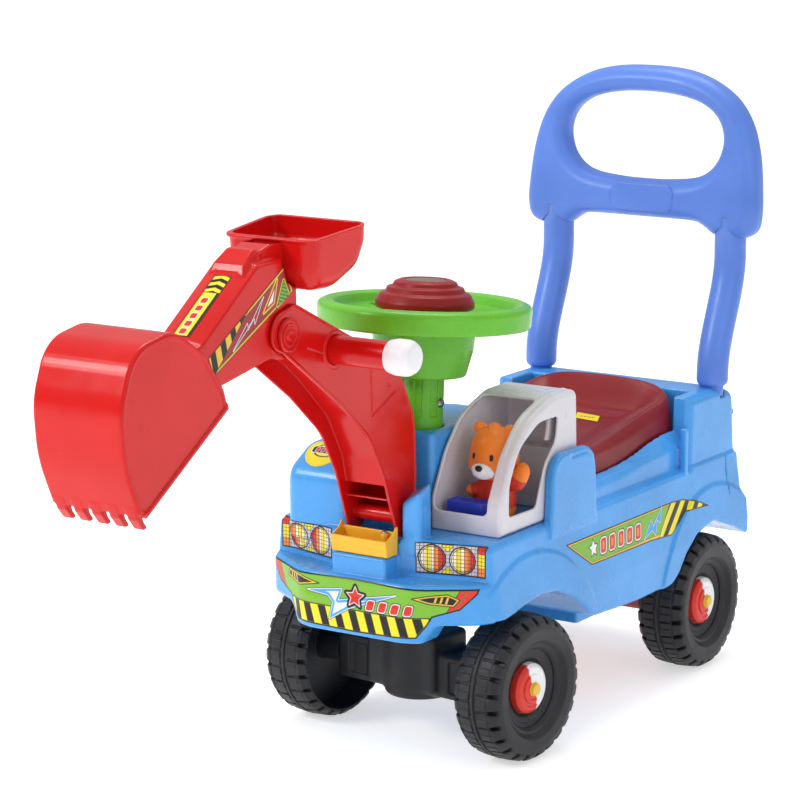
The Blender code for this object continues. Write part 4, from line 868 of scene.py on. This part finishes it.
def make_wheels():
    model = sculpt("tyre_model", tyre_rule, (-WHEEL_R, -WHEEL_R, -0.0235), (WHEEL_R, WHEEL_R, 0.025), 0.0008,
                   Matrix.Identity(4))
    tyre_mesh = model.data
    bpy.data.objects.remove(model)
    for end in ("front", "rear"):
        for side, word in ((1, "left"), (-1, "right")):
            label = "%s_%s" % (end, word)
            joint = JOINTS[label + "_spin"]
            outward = Vector(joint["axis"]).normalized() * side
            up = Vector((0, 0, 1))
            turn = Matrix((up.cross(outward).normalized(), up, outward)).transposed()
            hub = Matrix.Translation(joint["pos_m"]) @ turn.to_4x4()
            tyre = show("tyre_%s_fine" % label, tyre_mesh)
            tyre.matrix_world = hub
            stand_for(tyre, label + "_wheel", "tyre_black", "tyre_" + label)
            cap = turned("cap_%s_fine" % label, CAP_PROFILE, Matrix.Identity(4), 96)
            x, y, _ = points_of(cap).T
            out, angle = np.hypot(x, y), np.arctan2(y, x)
            swirl = np.sin(angle - 2.05 + 14.0 * (out - 0.006)) > 0
            colours = np.where(swirl[:, None], np.array(INK["red"]), np.array(INK["white"]))
            colours[out < 0.0062] = INK["amber"]
            ink(cap, colours)
            cap.matrix_world = hub
            stand_for(cap, label + "_wheel", "hub_cap", "hub_cap_" + label, paint="painted")


# Digging arm

BOOM_OUTLINE = fillet([
    (-222, 426.5, 12), (-150, 391, 60), (-98, 366, 50), (-66, 340, 40), (-46, 300, 50), (-44, 250, 40),
    (-46, 212, 12), (-56, 199, 12), (-74, 199, 10), (-77.5, 210), (-86, 232, 50), (-94, 255, 50), (-116, 294, 60),
    (-160, 332), (-238, 387, 6), (-252, 393, 18), (-260, 416, 18),
])


def bar_between(u, v, start, end, half):
    """Distance to a thin straight strip from start to end."""
    a, b = np.array(start), np.array(end)
    along = (b - a) / np.linalg.norm(b - a)
    t = np.clip((u - a[0]) * along[0] + (v - a[1]) * along[1], 0.0, np.linalg.norm(b - a))
    return np.hypot(u - a[0] - t * along[0], v - a[1] - t * along[1]) - half


def boom_rule(x, y, z):
    """The open-bottomed boom: two cheeks joined by a web, with a shelf and the pin's tube inside."""
    across = np.abs(x)
    side = poly2(BOOM_OUTLINE, y, z)
    groove = 0.0
    for start, end in (((-0.113, 0.356), (-0.111, 0.314)), ((-0.111, 0.314), (-0.076, 0.329)),
                       ((-0.205, 0.386), (-0.15, 0.366))):
        groove = groove + smooth(-bar_between(y, z, start, end, 0.0011) / 0.0008) * 0.0007
    bead = 0.0006 * smooth((side + 0.0026) / 0.0008)
    shape = meet(side, across - 0.0254 - bead + groove, 0.0008)
    hollow = poly2(fillet([
        (-300, 460), (-228, 460), (-223, 404), (-150, 347, 60), (-108, 308, 50), (-86, 270, 30), (-80, 245.5),
        (-49, 240), (-49, 214, 12), (-54, 180), (-110, 180), (-110, 250), (-180, 300), (-300, 360)]), y, z)
    shape = cut(shape, prism(hollow, x, -0.0235, 0.0235, 0.001), 0.0004)
    rib = meet(bar_between(y, z, (-0.078, 0.233), (-0.047, 0.227), 0.0009), across - 0.0245, 0.0003)
    shape = np.minimum(shape, np.maximum(rib, side + 0.001))
    shape = np.minimum(shape, meet(disc(y, z, BOOM_PIVOT, 0.0068), across - 0.0245, 0.0004))
    boss = prism(disc(y, z, BAR_AT, 0.0165), x, -0.0265, 0.0265, 0.001)
    shape = np.minimum(shape, boss)
    shape = cut(shape, disc(y, z, BOOM_PIVOT, 0.0036))
    shape = cut(shape, disc(y, z, ELBOW, 0.0062))
    dimple = meet(disc(y, z, (-0.086, 0.336), 0.0011), 0.0245 - across, 0.0002)
    return cut(cut(shape, dimple, 0.0002), disc(y, z, BAR_AT, BAR_R + 0.0002))


def stick_rule(x, y, z):
    """The stick: a hollow beam with bevelled upper edges, a raised cap and a neck under the scoop."""
    across = np.abs(x)
    outline = fillet([
        (-391, 376, 14), (-385, 402, 12), (-343, 413, 4), (-268, 465.5, 6), (-233, 466, 3), (-224, 445, 4),
        (-211, 440, 3), (-210.5, 413, 10), (-220, 379.5, 16), (-250, 385, 20), (-322, 373, 20), (-360, 370.5)])
    side = poly2(outline, y, z)
    chamfer = (side + np.maximum(across - 0.01, 0.0) * 0.27) * 0.96
    shape = meet(np.where(z > 0.4, chamfer, side), across - 0.022, 0.0016)
    cap = poly2(fillet([(-281, 454), (-276.5, 464, 3), (-262, 473.8, 4), (-256, 474.2), (-250, 450)]), y, z)
    shape = join(shape, meet(cap, across - 0.0178 + 0.25 * np.maximum(z - 0.455, 0.0), 0.0022), 0.0012)
    neck = poly2(fillet([(-266, 450), (-262, 470), (-234, 477.5, 3), (-221.5, 477.5), (-221.5, 440),
                         (-240, 440)]), y, z)
    shape = join(shape, meet(neck, across - 0.015, 0.003), 0.003)
    boss = meet(disc(y, z, ELBOW, 0.0205), across - 0.0222, 0.0008)
    shape = np.minimum(shape, boss)
    hollow = poly2(fillet([
        (-352, 377), (-343, 405), (-270, 456), (-240, 456), (-229, 434), (-222, 430), (-222, 422), (-250, 408),
        (-256, 390), (-320, 377.5)]), y, z)
    shape = cut(shape, prism(hollow, x, -0.019, 0.019, 0.001), 0.0004)
    shape = cut(shape, block(x, y, z, (-0.015, 0.015), (-0.335, -0.275), (0.36, 0.39), 0.002), 0.0006)
    shape = cut(shape, disc(y, z, ELBOW, 0.0062))
    return cut(shape, disc(y, z, BUCKET_PIVOT, 0.0042))


def scoop_rule(x, y, z):
    """The open scoop: walls of a tapered round box, cut flat at a slightly rising rim with a lip."""
    outer = poly2(fillet([
        (-222.8, 520), (-224, 450, 14), (-212, 435, 16), (-185, 434, 30), (-155, 448, 22), (-146.5, 468, 14),
        (-149, 520)]), y, z)
    taper = np.abs(x) + 0.1 * (0.48 - z) - 0.06 * (y + 0.19)
    shape = meet(outer, taper - 0.0465, 0.013)
    rim_line = z - 0.4785 - (y + 0.2228) * 0.085
    lip = meet(meet(taper - 0.048, span(y, -0.2245, -0.1515), 0.011), rim_line, 0.001)
    lip = meet(lip, -rim_line - 0.0032, 0.001)
    shape = join(shape, lip, 0.0008)
    shape = meet(shape, rim_line, 0.0008)
    inner = poly2(fillet([
        (-220.5, 450, 12), (-210, 438, 14), (-185, 437.2, 28), (-157, 450, 20), (-149.2, 468, 12), (-151.5, 525),
        (-220, 525)]), y, z)
    return cut(shape, meet(inner, taper - 0.0435, 0.0105), 0.0008)


BUCKET_OUTER = fillet([
    (-338, 362), (-344, 379), (-368, 411, 30), (-406, 435, 35), (-456, 427, 35), (-473, 383, 60), (-469, 338, 100),
    (-452, 300), (-444, 296),
], 10)


def bucket_rule(x, y, z):
    """The bucket: a round back, recessed cheeks with a raised rim, and five teeth on its lower edge."""
    x = x - 0.002
    across = np.abs(x) + 0.0036
    side = poly2(BUCKET_OUTER, y, z)
    inset = 0.0011 * smooth((-side - 0.0042) / 0.0009)
    mouth = bar_between(y, z, (-0.338, 0.362), (-0.444, 0.296), 0.0)
    flange = 0.0009 * smooth((0.0062 - mouth) / 0.0006)
    shape = meet(side, across - 0.0466 + inset - np.maximum(flange - inset, 0.0), 0.003)
    inner = poly2(fillet([
        (-310, 366), (-338, 450), (-401, 450), (-404.5, 432.5), (-454, 424.5, 33), (-470.5, 383, 60),
        (-466.5, 338.5, 100), (-450, 301), (-436, 280), (-420, 285)], 10), y, z)
    shape = cut(shape, prism(inner, x, -0.0404, 0.0404, 0.002), 0.0005)
    for k in range(5):
        centre = -0.0344 + 0.0172 * k
        tooth = poly2(fillet([(-454.5, 306), (-450.5, 295.5), (-443, 286.6, 2), (-438.5, 287.8, 1),
                              (-443, 293.5, 4), (-447, 304)]), y, z)
        shape = join(shape, prism(tooth, x, centre - 0.005, centre + 0.005, 0.0012), 0.0012)
    return shape


def tray_rule(x, y, z):
    """The front tray: a box with low walls, open between its cheeks where the boom swings."""
    low = 0.1863
    outer = poly2(fillet([(-95.5, low / MM, 2), (-97.8, 201, 1.5), (-93, 202.2), (-85, 206, 10), (-81, 211, 1),
                          (-77.5, 211, 1), (-78.5, low / MM, 1)]), y, z)
    shape = prism(outer, x, -0.029, 0.029, 0.0016)
    inner = block(x, y, z, (-0.027, 0.027), (-0.0953, -0.0802), (low + 0.002, 0.23), 0.0012)
    shape = cut(shape, inner, 0.0004)
    between = block(x, y, z, (-0.0272, 0.0272), (-0.0953, -0.074), (0.2062, 0.23), 0.001)
    shape = cut(shape, between, 0.0006)
    bolt_boss = meet(disc(x, y, (0.0185, -0.0835), 0.0034), z - 0.205, 0.0008)
    return np.minimum(shape, meet(bolt_boss, low + 0.001 - z, 0.0004))


def make_arm():
    boom = sculpt("boom_fine", boom_rule, (-0.0268, -0.262, 0.198), (0.0268, -0.043, 0.428), 0.0009)
    stand_for(boom, "boom_arm", "digger_red", "boom")
    stick = sculpt("stick_fine", stick_rule, (-0.0222, -0.392, 0.369), (0.0222, -0.209, 0.474), 0.0008)
    stand_for(stick, "stick_arm", "digger_red", "stick")
    scoop = sculpt("scoop_fine", scoop_rule, (-0.051, -0.225, 0.433), (0.051, -0.146, 0.485), 0.0008)
    stand_for(scoop, "stick_arm", "digger_red", "rear_scoop")
    bucket = sculpt("bucket_fine", bucket_rule, (-0.048, -0.475, 0.2855), (0.048, -0.336, 0.4365), 0.0009)
    stand_for(bucket, "bucket_body", "digger_red", "bucket")
    tray = sculpt("tray_fine", tray_rule, (-0.0295, -0.098, 0.186), (0.0295, -0.077, 0.2115), 0.0006)
    stand_for(tray, "chassis", "tray_yellow", "front_tray")
    head = fillet([(0, 1.4), (0.8, 1.4), (0.8, 2.2), (1.9, 2.1, 0.5), (2.7, 0.8), (2.7, 0), (0, 0)], 3)
    place = TO_FRAME @ Matrix.Translation((0.0185, -0.0835, 0.2051))
    stand_for(turned("tray_screw", head, place, 48), "chassis", "steel")
    across = Matrix.Rotation(math.radians(90.0), 4, "Y")
    bar_place = TO_FRAME @ Matrix.Translation((0.0, *BAR_AT)) @ across
    bar = turned("bar_fine", fillet([(0, 88), (BAR_R / MM, 88, 1), (BAR_R / MM, -88, 1), (0, -88)]),
                 bar_place, 64)
    stand_for(bar, "boom_arm", "digger_red", "handle_bar")
    for side, word in ((-1, "right"), (1, "left")):
        knob = fillet([(0, 25), (11.5, 24.6, 5), (15.2, 18.5, 9), (15.2, 7.5, 6), (13.5, 0.2, 1.4), (12.4, 0.2),
                       (12.4, 7.8), (0, 7.8)], 8)
        base = TO_FRAME @ Matrix.Translation((side * 0.0805, *BAR_AT))
        place = base @ Matrix.Rotation(side * math.radians(90.0), 4, "Y")
        stand_for(turned("knob_%s_fine" % word, knob, place, 64), "boom_arm", "knob_white", "handle_knob_" + word)
    pin = fillet([(0, 29.2), (4, 29.2, 0.8), (5.2, 27.8), (7, 27.8), (7.8, 29, 0.4), (9.5, 29, 0.4), (10, 27.8),
                  (12, 27.8), (12.6, 29, 0.4), (14, 28.6, 0.6), (14, 26.2), (6, 26.2), (6, -26.2), (12.8, -26.2),
                  (12.8, -28.5, 0.6), (0, -28.5)], 3)
    pin_place = TO_FRAME @ Matrix.Translation((0.0, *ELBOW)) @ across
    stand_for(turned("elbow_pin_fine", pin, pin_place, 64), "boom_arm", "digger_red", "elbow_pin")
    shaft = fillet([(0, 41.2), (3.8, 41.2, 0.6), (3.8, -41.2, 0.6), (0, -41.2)], 3)
    shaft_place = TO_FRAME @ Matrix.Translation((0.002, *BUCKET_PIVOT)) @ across
    stand_for(turned("bucket_pin_fine", shaft, shaft_place, 48), "stick_arm", "digger_red", "bucket_pin")


# Printed stickers: plain shapes on fine sheets of (u, v) points

STICKER_LIFT = 0.00022
RAY_STEPS = 24


class Sheet:
    """A sticker inside an outline, painted from distances and laid on a piece's surface."""

    def __init__(self, outline, ground, step=0.0004):
        self.step = step * 1.0
        spans = [np.arange(min(c) - 2.0 * self.step, max(c) + 2.0 * self.step, self.step) for c in zip(*outline)]
        self.u, self.v = np.meshgrid(*spans, indexing="ij")
        self.edge = poly2(outline, self.u, self.v)
        self.colour = np.tile(np.array(INK[ground]), (*self.u.shape, 1))

    def paint(self, gap, name):
        share = np.clip(0.5 - gap / self.step, 0.0, 1.0)[..., None]
        self.colour = self.colour * (1.0 - share) + np.array(INK[name]) * share

    def bands(self, gap, *inks):
        """Paints a shape over itself in inks of (how far it reaches past the shape, its name)."""
        for margin, name in inks:
            self.paint(gap - margin, name)

    def lay(self, name, rule, place, toward, body, slot_name):
        """Drops each point of the sheet on to the surface given by the rule."""
        pull = np.where(np.abs(self.edge) < 0.75 * self.step, self.edge, 0.0)
        slope_u, slope_v = np.gradient(self.edge, self.step)
        start = np.stack(np.broadcast_arrays(*place(self.u - pull * slope_u, self.v - pull * slope_v)), -1)
        near = self.edge < 0.75 * self.step
        start = start[near]
        toward = np.array(toward) / np.linalg.norm(toward)
        travel = np.zeros(len(start))
        for _ in range(RAY_STEPS):
            gap = rule(*(start + travel[:, None] * toward).T)
            travel += 0.8 * gap
        spot = start + travel[:, None] * toward
        normal = np.stack([rule(*(spot + shift).T) - rule(*(spot - shift).T) for shift in np.eye(3) * 0.0005], -1)
        normal /= np.maximum(np.linalg.norm(normal, axis=1, keepdims=True), 1e-9)
        index = np.full(self.u.shape, -1)
        index[near] = np.where(np.abs(gap) < 0.0003, np.arange(len(start)), -1)
        quads = np.stack([index[:-1, :-1], index[1:, :-1], index[1:, 1:], index[:-1, 1:]], -1).reshape(-1, 4)
        quads = quads[(quads >= 0).all(1)]
        a, b, c = (spot[quads[:, k]] for k in range(3))
        if (np.cross(b - a, c - b) * normal[quads[:, 0]]).sum() < 0:
            quads = quads[:, ::-1]
        points = spot + normal * STICKER_LIFT + np.array([0.0, TRUCK_Y, 0.0])
        used = np.unique(quads)
        renumber = np.full(len(points), -1)
        renumber[used] = np.arange(len(used))
        sheet = add_mesh(name, points[used], renumber[quads], normal[used])
        ink(sheet, self.colour[near][used])
        stand_for(sheet, body, slot_name, paint="print")


def star(u, v, centre, radius):
    corners = [(centre[0] + r * math.sin(k * math.pi / 5.0), centre[1] + r * math.cos(k * math.pi / 5.0))
               for k, r in enumerate([radius, 0.48 * radius] * 5)]
    return poly2(corners, u, v)


def tablet(u, v, centre, half, slant=0.0):
    """A rounded bar, leaning by its slant."""
    across = np.abs(u - centre[0] - slant * (v - centre[1])) - half[0]
    return meet(across, np.abs(v - centre[1]) - half[1], min(half) * 0.5)


def stripes(along, pitch):
    return (np.abs(np.mod(along / pitch, 1.0) - 0.5) - 0.25) * pitch


def bumper_sticker():
    sheet = Sheet(mirrored(mm([
        (0, 166.8), (19, 166.6), (53, 165.5), (70, 164.8), (116.4, 165.2), (115, 160.5), (100.7, 147),
        (76.8, 140.5), (72.5, 133.5), (62.9, 121.8), (0, 120.3)])), "black")
    u, v, inside = sheet.u, sheet.v, sheet.edge + 0.0013
    wide = np.abs(u)
    sheet.paint(inside, "green")
    tip = 0.0985 - wide + 0.6 * (v - 0.16)
    sheet.paint(np.maximum(inside, tip - 0.0008), "black")
    sheet.paint(np.maximum(inside, tip), "red")
    sheet.paint(np.maximum(inside, np.abs(tip + 0.006) - 0.0005), "dark_green")
    band = np.maximum(np.maximum(v - 0.1392, wide - 0.0735), inside)
    sheet.paint(np.maximum(v - 0.1402, wide - 0.0745), "black")
    sheet.paint(band, "yellow")
    sheet.paint(np.maximum(band, stripes(u + 0.3 * (v - 0.12) + 0.003, 0.016)), "black")
    arrows = (
        ([(-36, 158), (-60, 153.2), (-84, 156.8), (-80, 163), (-58, 162.5)], (-0.064, -0.069, -0.074)),
        ([(59, 156.8), (74, 152.2), (95, 150), (100, 156), (90, 160.5), (74, 159.2)], (0.08, 0.085, 0.09)),
    )
    for corners, slashes in arrows:
        arrow = poly2(mm(corners), u, v)
        sheet.bands(arrow, (0.0006, "black"), (-0.0003, "amber"), (-0.0013, "black"))
        for place in slashes:
            lean = np.sign(place) * 0.35
            cut_line = np.abs(u - place - lean * (v - 0.157)) - 0.0009
            sheet.paint(np.maximum(cut_line, arrow + 0.0018), "amber")
    bolt = poly2(mm([(-48, 151), (-12, 156.5), (-15, 146), (44, 158), (-4, 140.5), (-24, 128.5), (-20.5, 144),
                     (-26, 149.2)]), u, v)
    sheet.bands(bolt, (0.0012, "black"), (0.0006, "white"), (0.0, "blue"), (-0.0022, "white"))
    sheet.bands(star(u, v, (0.002, 0.151), 0.01), (0.0022, "black"), (0.0, "white"))
    sheet.paint(star(u, v, (0.002, 0.151), 0.0086), "red")
    for place in (0.018, 0.0305, 0.043, 0.0555):
        bar = tablet(u, v, (place, 0.1458), (0.0036, 0.0042), 0.25)
        sheet.bands(bar, (0.0016, "black"), (0.0008, "white"), (0.0, "red"))

    def place(u, v):
        return np.sign(u) * (np.minimum(np.abs(u), 0.052) + np.maximum(np.abs(u) - 0.052, 0.0) * 0.849), -0.14, v

    sheet.lay("bumper_sticker", body_rule, place, (0.0, 1.0, 0.0), "chassis", "body_blue")


def lamp_stickers():
    for side, word in ((1, "left"), (-1, "right")):
        sheet = Sheet(fillet([(0, 0, 1.2), (64.5, 0, 1.2), (64.5, 27.2, 1.2), (0, 27.2, 1.2)]), "silver", 0.0003)
        u, v = sheet.u, sheet.v
        sheet.paint(0.0562 - u, "yellow")
        sheet.paint(np.maximum(0.0562 - u, v - 0.009), "orange")
        sheet.paint(np.maximum(0.0562 - u, 0.0205 - v), "red")
        lamps = [(centre, radius, disc(u, v, (centre, 0.0136), radius))
                 for centre, radius in ((0.0148, 0.0121), (0.0422, 0.0117))]
        for centre, radius, lamp in lamps:
            sheet.paint(lamp, "cream")
            for start, name in ((-0.5, "yellow"), (-0.12, "cream"), (0.1, "orange"), (0.5, "red")):
                sheet.paint(np.maximum(lamp, centre + start * radius - u), name)
        for top in (0, 1):
            height = 0.0272 - v if top else v
            wedge = np.maximum(np.abs(u - 0.0285) - 0.8 * np.maximum(0.0075 - height, 0.0), 0.0012 - height)
            sheet.bands(np.maximum(wedge, height - 0.0062), (0.0005, "black"), (0.0, "yellow"))
        mesh = np.minimum(np.abs(np.mod(u + 0.0008, 0.0033) - 0.00165), np.abs(np.mod(v + 0.0005, 0.0033) - 0.00165))
        sheet.paint(mesh - 0.00022, "black")
        for _, _, lamp in lamps:
            sheet.paint(np.abs(lamp) - 0.0006, "black")
            sheet.paint(np.abs(lamp + 0.0016) - 0.0003, "black")
        sheet.paint(np.abs(0.056 - u) - 0.0004, "black")
        sheet.paint(-sheet.edge - 0.0009, "black")

        def place(u, v):
            return side * (0.0436 + 0.9702 * u), -0.1, 0.1718 + v

        sheet.lay("lamp_sticker_" + word, body_rule, place, (0.0, 1.0, 0.0), "chassis", "body_blue")


def side_stickers():
    for side, word in ((1, "left"), (-1, "right")):
        sheet = Sheet(mm([(66, 174.7), (261.7, 174.4), (282.5, 172.8), (307.3, 167.1), (330.8, 157.7), (286, 160.5),
                          (270.3, 150.8), (257.3, 143.8), (218.2, 146.4), (108.5, 147.9)]), "black")
        u, v, inside = sheet.u, sheet.v, sheet.edge + 0.001
        sheet.paint(inside, "amber")
        sheet.paint(np.maximum(sheet.edge + 0.0022, 0.1495 - v), "black")
        sheet.paint(np.maximum(sheet.edge + 0.0026, 0.15 - v), "green")
        tail = np.maximum(inside, 0.246 + 0.9 * (v - 0.16) - u)
        sheet.bands(tail, (0.001, "black"), (0.0, "yellow"))
        sheet.paint(np.maximum(tail, stripes(u - 1.1 * (v - 0.15), 0.02)), "black")
        sheet.bands(star(u, v, (0.113, 0.162), 0.0078), (0.001, "black"), (0.0, "white"))
        for k in range(5):
            bar = tablet(u, v, (0.131 + 0.016 * k, 0.1612 - 0.0003 * k), (0.0048, 0.0066), 0.15)
            sheet.bands(bar, (0.0022, "black"), (0.0012, "white"), (0.0, "red"), (-0.003, "orange"))
        bolt = poly2(mm([(205, 150), (221, 166), (224, 159), (242, 173.5), (237, 159), (232, 163.5), (227, 150),
                         (221, 156)]), u, v)
        sheet.bands(bolt, (0.0012, "black"), (0.0006, "white"), (0.0, "blue"))

        def place(u, v):
            return side * 0.15, u, v

        sheet.lay("side_sticker_" + word, body_rule, place, (-side, 0.0, 0.0), "chassis", "body_blue")


def hood_sticker():
    sheet = Sheet([(0.0185 * math.cos(a / 20.0 * math.pi), 0.0185 * math.sin(a / 20.0 * math.pi))
                   for a in range(40)], "yellow")
    u, v = sheet.u, sheet.v
    sheet.paint(np.abs(np.hypot(u, v) - 0.0172) - 0.0003, "amber")
    ring = np.abs(np.hypot(u / 1.5, v) - 0.0075) - 0.0006
    sheet.paint(ring, "black")
    sheet.bands(tablet(u, v, (0.0, 0.0), (0.0135, 0.0034)), (0.0008, "white"), (0.0, "black"))
    for place_u in (-0.0085, -0.0028, 0.0028, 0.0085):
        sheet.bands(tablet(u, v, (place_u, 0.0), (0.0017, 0.0021)), (0.0004, "white"), (0.0, "red"))

    def place(u, v):
        return u - 0.07, v - 0.043, 0.3

    sheet.lay("hood_sticker", body_rule, place, (0.0, 0.0, -1.0), "chassis", "body_blue")


ROOF_START, ROOF_ALONG = (-0.343, 0.413), (0.8192, 0.5735)


def arm_stickers():
    sheet = Sheet(mm([(-8.4, 4), (8.4, 4), (8.4, 73.5), (-8.4, 73.5)]), "black", 0.0003)
    u, v = sheet.u, sheet.v
    sheet.paint(sheet.edge + 0.0008, "yellow")
    lean = np.maximum(sheet.edge + 0.0008, 0.003 - u - 0.22 * (v - 0.01))
    sheet.paint(np.maximum(lean, 0.0052 - u), "black")
    top = np.maximum(sheet.edge + 0.0008, 0.054 - v)
    sheet.bands(top, (0.0008, "black"), (0.0, "yellow"))
    sheet.paint(np.maximum(top, stripes(v + 0.35 * np.abs(u), 0.0072)), "black")
    for k in range(5):
        square = tablet(u, v, (-0.0016, 0.0095 + 0.0087 * k), (0.003, 0.0029))
        sheet.bands(square, (0.0006, "white"), (0.0, "red"))

    def on_roof(u, v):
        return (u, ROOF_START[0] + ROOF_ALONG[0] * v - 0.02 * ROOF_ALONG[1],
                ROOF_START[1] + ROOF_ALONG[1] * v + 0.02 * ROOF_ALONG[0])

    sheet.lay("roof_sticker", stick_rule, on_roof, (0.0, ROOF_ALONG[1], -ROOF_ALONG[0]), "stick_arm", "digger_red")
    for side, word in ((1, "left"), (-1, "right")):
        sheet = Sheet(mm([(-231.6, 457.7), (-219.6, 435.7), (-327.2, 383.1), (-334.5, 398.6)]), "black", 0.0003)
        u, v = sheet.u, sheet.v
        along = (u + 0.331) * 0.8826 + (v - 0.3905) * 0.4706
        off = (v - 0.3905) * 0.8826 - (u + 0.331) * 0.4706
        sheet.bands(sheet.edge, (-0.0007, "amber"), (-0.0022, "black"), (-0.0027, "maroon"))
        wedge = np.maximum(sheet.edge + 0.0007, off * -1.0 - 0.008 + 0.3 * along)
        wedge = np.maximum(wedge, along - 0.064)
        sheet.bands(wedge, (0.0006, "black"), (0.0, "amber"))
        sheet.paint(np.maximum(wedge, stripes(along - 0.25 * off + 0.002, 0.015)), "black")
        bolt = poly2(mm([(30, -6), (56, 2), (54.5, -3), (84, 7.5), (64, -4.5), (66, 0)]), along, off)
        sheet.bands(bolt, (0.0012, "black"), (0.0006, "white"), (0.0, "maroon"))
        end = poly2(mm([(96, -10), (113, 3), (113, -12)]), along, off)
        sheet.bands(end, (0.0026, "black"), (0.0018, "amber"), (0.0005, "black"), (0.0, "dark_green"))
        sheet.paint(np.maximum(end, stripes(along + off, 0.004)), "green")
        arrow = poly2(mm([(78, -4), (106, 9), (93, -5)]), along, off)
        sheet.bands(arrow, (0.0014, "amber"), (0.0, "maroon"), (-0.0016, "white"))

        def beside(u, v):
            return side * 0.05, u, v

        sheet.lay("arm_sticker_" + word, stick_rule, beside, (-side, 0.0, 0.0), "stick_arm", "digger_red")


def seat_sticker():
    sheet = Sheet(mm([(-6, 287), (22, 283), (31, 262), (3, 266)]), "black")
    sheet.paint(sheet.edge + 0.0006, "yellow")
    sheet.paint(tablet(sheet.u, sheet.v, (0.0125, 0.2745), (0.009, 0.002), -0.4), "amber")
    sheet.paint(np.maximum(tablet(sheet.u, sheet.v, (0.0125, 0.2745), (0.008, 0.0011), -0.4),
                           stripes(sheet.u, 0.004)), "black")

    def place(u, v):
        return u, v, 0.3

    sheet.lay("seat_sticker", seat_rule, place, (0.0, 0.0, -1.0), "seat", "seat_red")


def make_kept_nodes():
    """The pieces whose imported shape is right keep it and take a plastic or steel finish."""
    slots = {part["node"]: part["material_slot"] for part in frame["record"]["subparts"]}
    for name, node in NODES.items():
        if node.hide_render:
            continue
        node.data.materials.clear()
        node.data.materials.append(PAINT[slots[name]])


# Stage

def light(name, at, towards, size, power):
    data = bpy.data.lights.new(name, "AREA")
    data.shape = "RECTANGLE"
    data.size, data.size_y = size
    data.energy = power
    lamp = show(name, data)
    lamp.location = at
    lamp.rotation_euler = (Vector(towards) - Vector(at)).to_track_quat("-Z", "Y").to_euler()


SKY_LOW, SKY_HIGH = 0.36, 0.85
FLOOR_REACH, FLOOR_GLOW = 40.0, 0.55
LIGHTS = (
    ("key", (-1.5, -2.3, 2.1), (0.0, -0.1, 0.25), (1.1, 0.9), 46.0),
    ("side", (2.6, -0.9, 1.3), (0.0, 0.1, 0.25), (1.0, 1.2), 7.0),
    ("top", (-0.3, 0.6, 2.4), (0.0, 0.0, 0.2), (1.2, 0.9), 20.0),
)
CAMERA_AT, CAMERA_LOOK = (1.4308, -2.199, 0.8455), (-0.0201, 0.0, 0.3031)
CAMERA_LENS, CAMERA_ROLL = 137.45, -0.26


def make_stage():
    scene = bpy.context.scene
    world = bpy.data.worlds.new("studio")
    world.use_nodes = True
    tree = world.node_tree
    background = tree.nodes["Background"]
    background.inputs["Color"].default_value = (1.0, 1.0, 1.0, 1.0)
    split, ramp = tree.nodes.new("ShaderNodeSeparateXYZ"), tree.nodes.new("ShaderNodeMapRange")
    tree.links.new(tree.nodes.new("ShaderNodeTexCoord").outputs["Generated"], split.inputs[0])
    tree.links.new(split.outputs["Z"], ramp.inputs["Value"])
    for key, value in (("From Min", 0.0), ("From Max", 0.9), ("To Min", SKY_LOW), ("To Max", SKY_HIGH)):
        ramp.inputs[key].default_value = value
    tree.links.new(ramp.outputs["Result"], background.inputs["Strength"])
    scene.world = world
    scene.view_settings.view_transform = "Standard"
    corners = [(-1, -1, 0), (1, -1, 0), (1, 1, 0), (-1, 1, 0)]
    floor = add_mesh("floor", np.array(corners) * FLOOR_REACH, np.array([[0, 1, 2, 3]]))
    pale = plastic("pale_floor", (0.8, 0.8, 0.8), 0.7, grain=0.004, bump=0, wear=0, speckle=0)
    glow = pale.node_tree.nodes["Principled BSDF"].inputs
    glow["Emission Color"].default_value = (1.0, 1.0, 1.0, 1.0)
    glow["Emission Strength"].default_value = FLOOR_GLOW
    glow["Specular IOR Level"].default_value = 0.1
    floor.data.materials.append(pale)
    for lamp in LIGHTS:
        light(*lamp)


def make_camera():
    data = bpy.data.cameras.new("camera")
    data.lens = CAMERA_LENS
    data.sensor_width = 36.0
    data.clip_end = 50.0
    camera = show("camera", data)
    turn = (Vector(CAMERA_LOOK) - Vector(CAMERA_AT)).to_track_quat("-Z", "Y").to_matrix().to_4x4()
    roll = Matrix.Rotation(math.radians(CAMERA_ROLL), 4, "Z")
    camera.matrix_world = TO_FRAME @ Matrix.Translation(CAMERA_AT) @ turn @ roll
    bpy.context.scene.camera = camera


make_camera()
make_stage()
make_body()
make_handle()
make_seat()
make_cab()
make_steering()
make_axles()
make_wheels()
make_arm()
bumper_sticker()
lamp_stickers()
side_stickers()
hood_sticker()
arm_stickers()
seat_sticker()
make_kept_nodes()
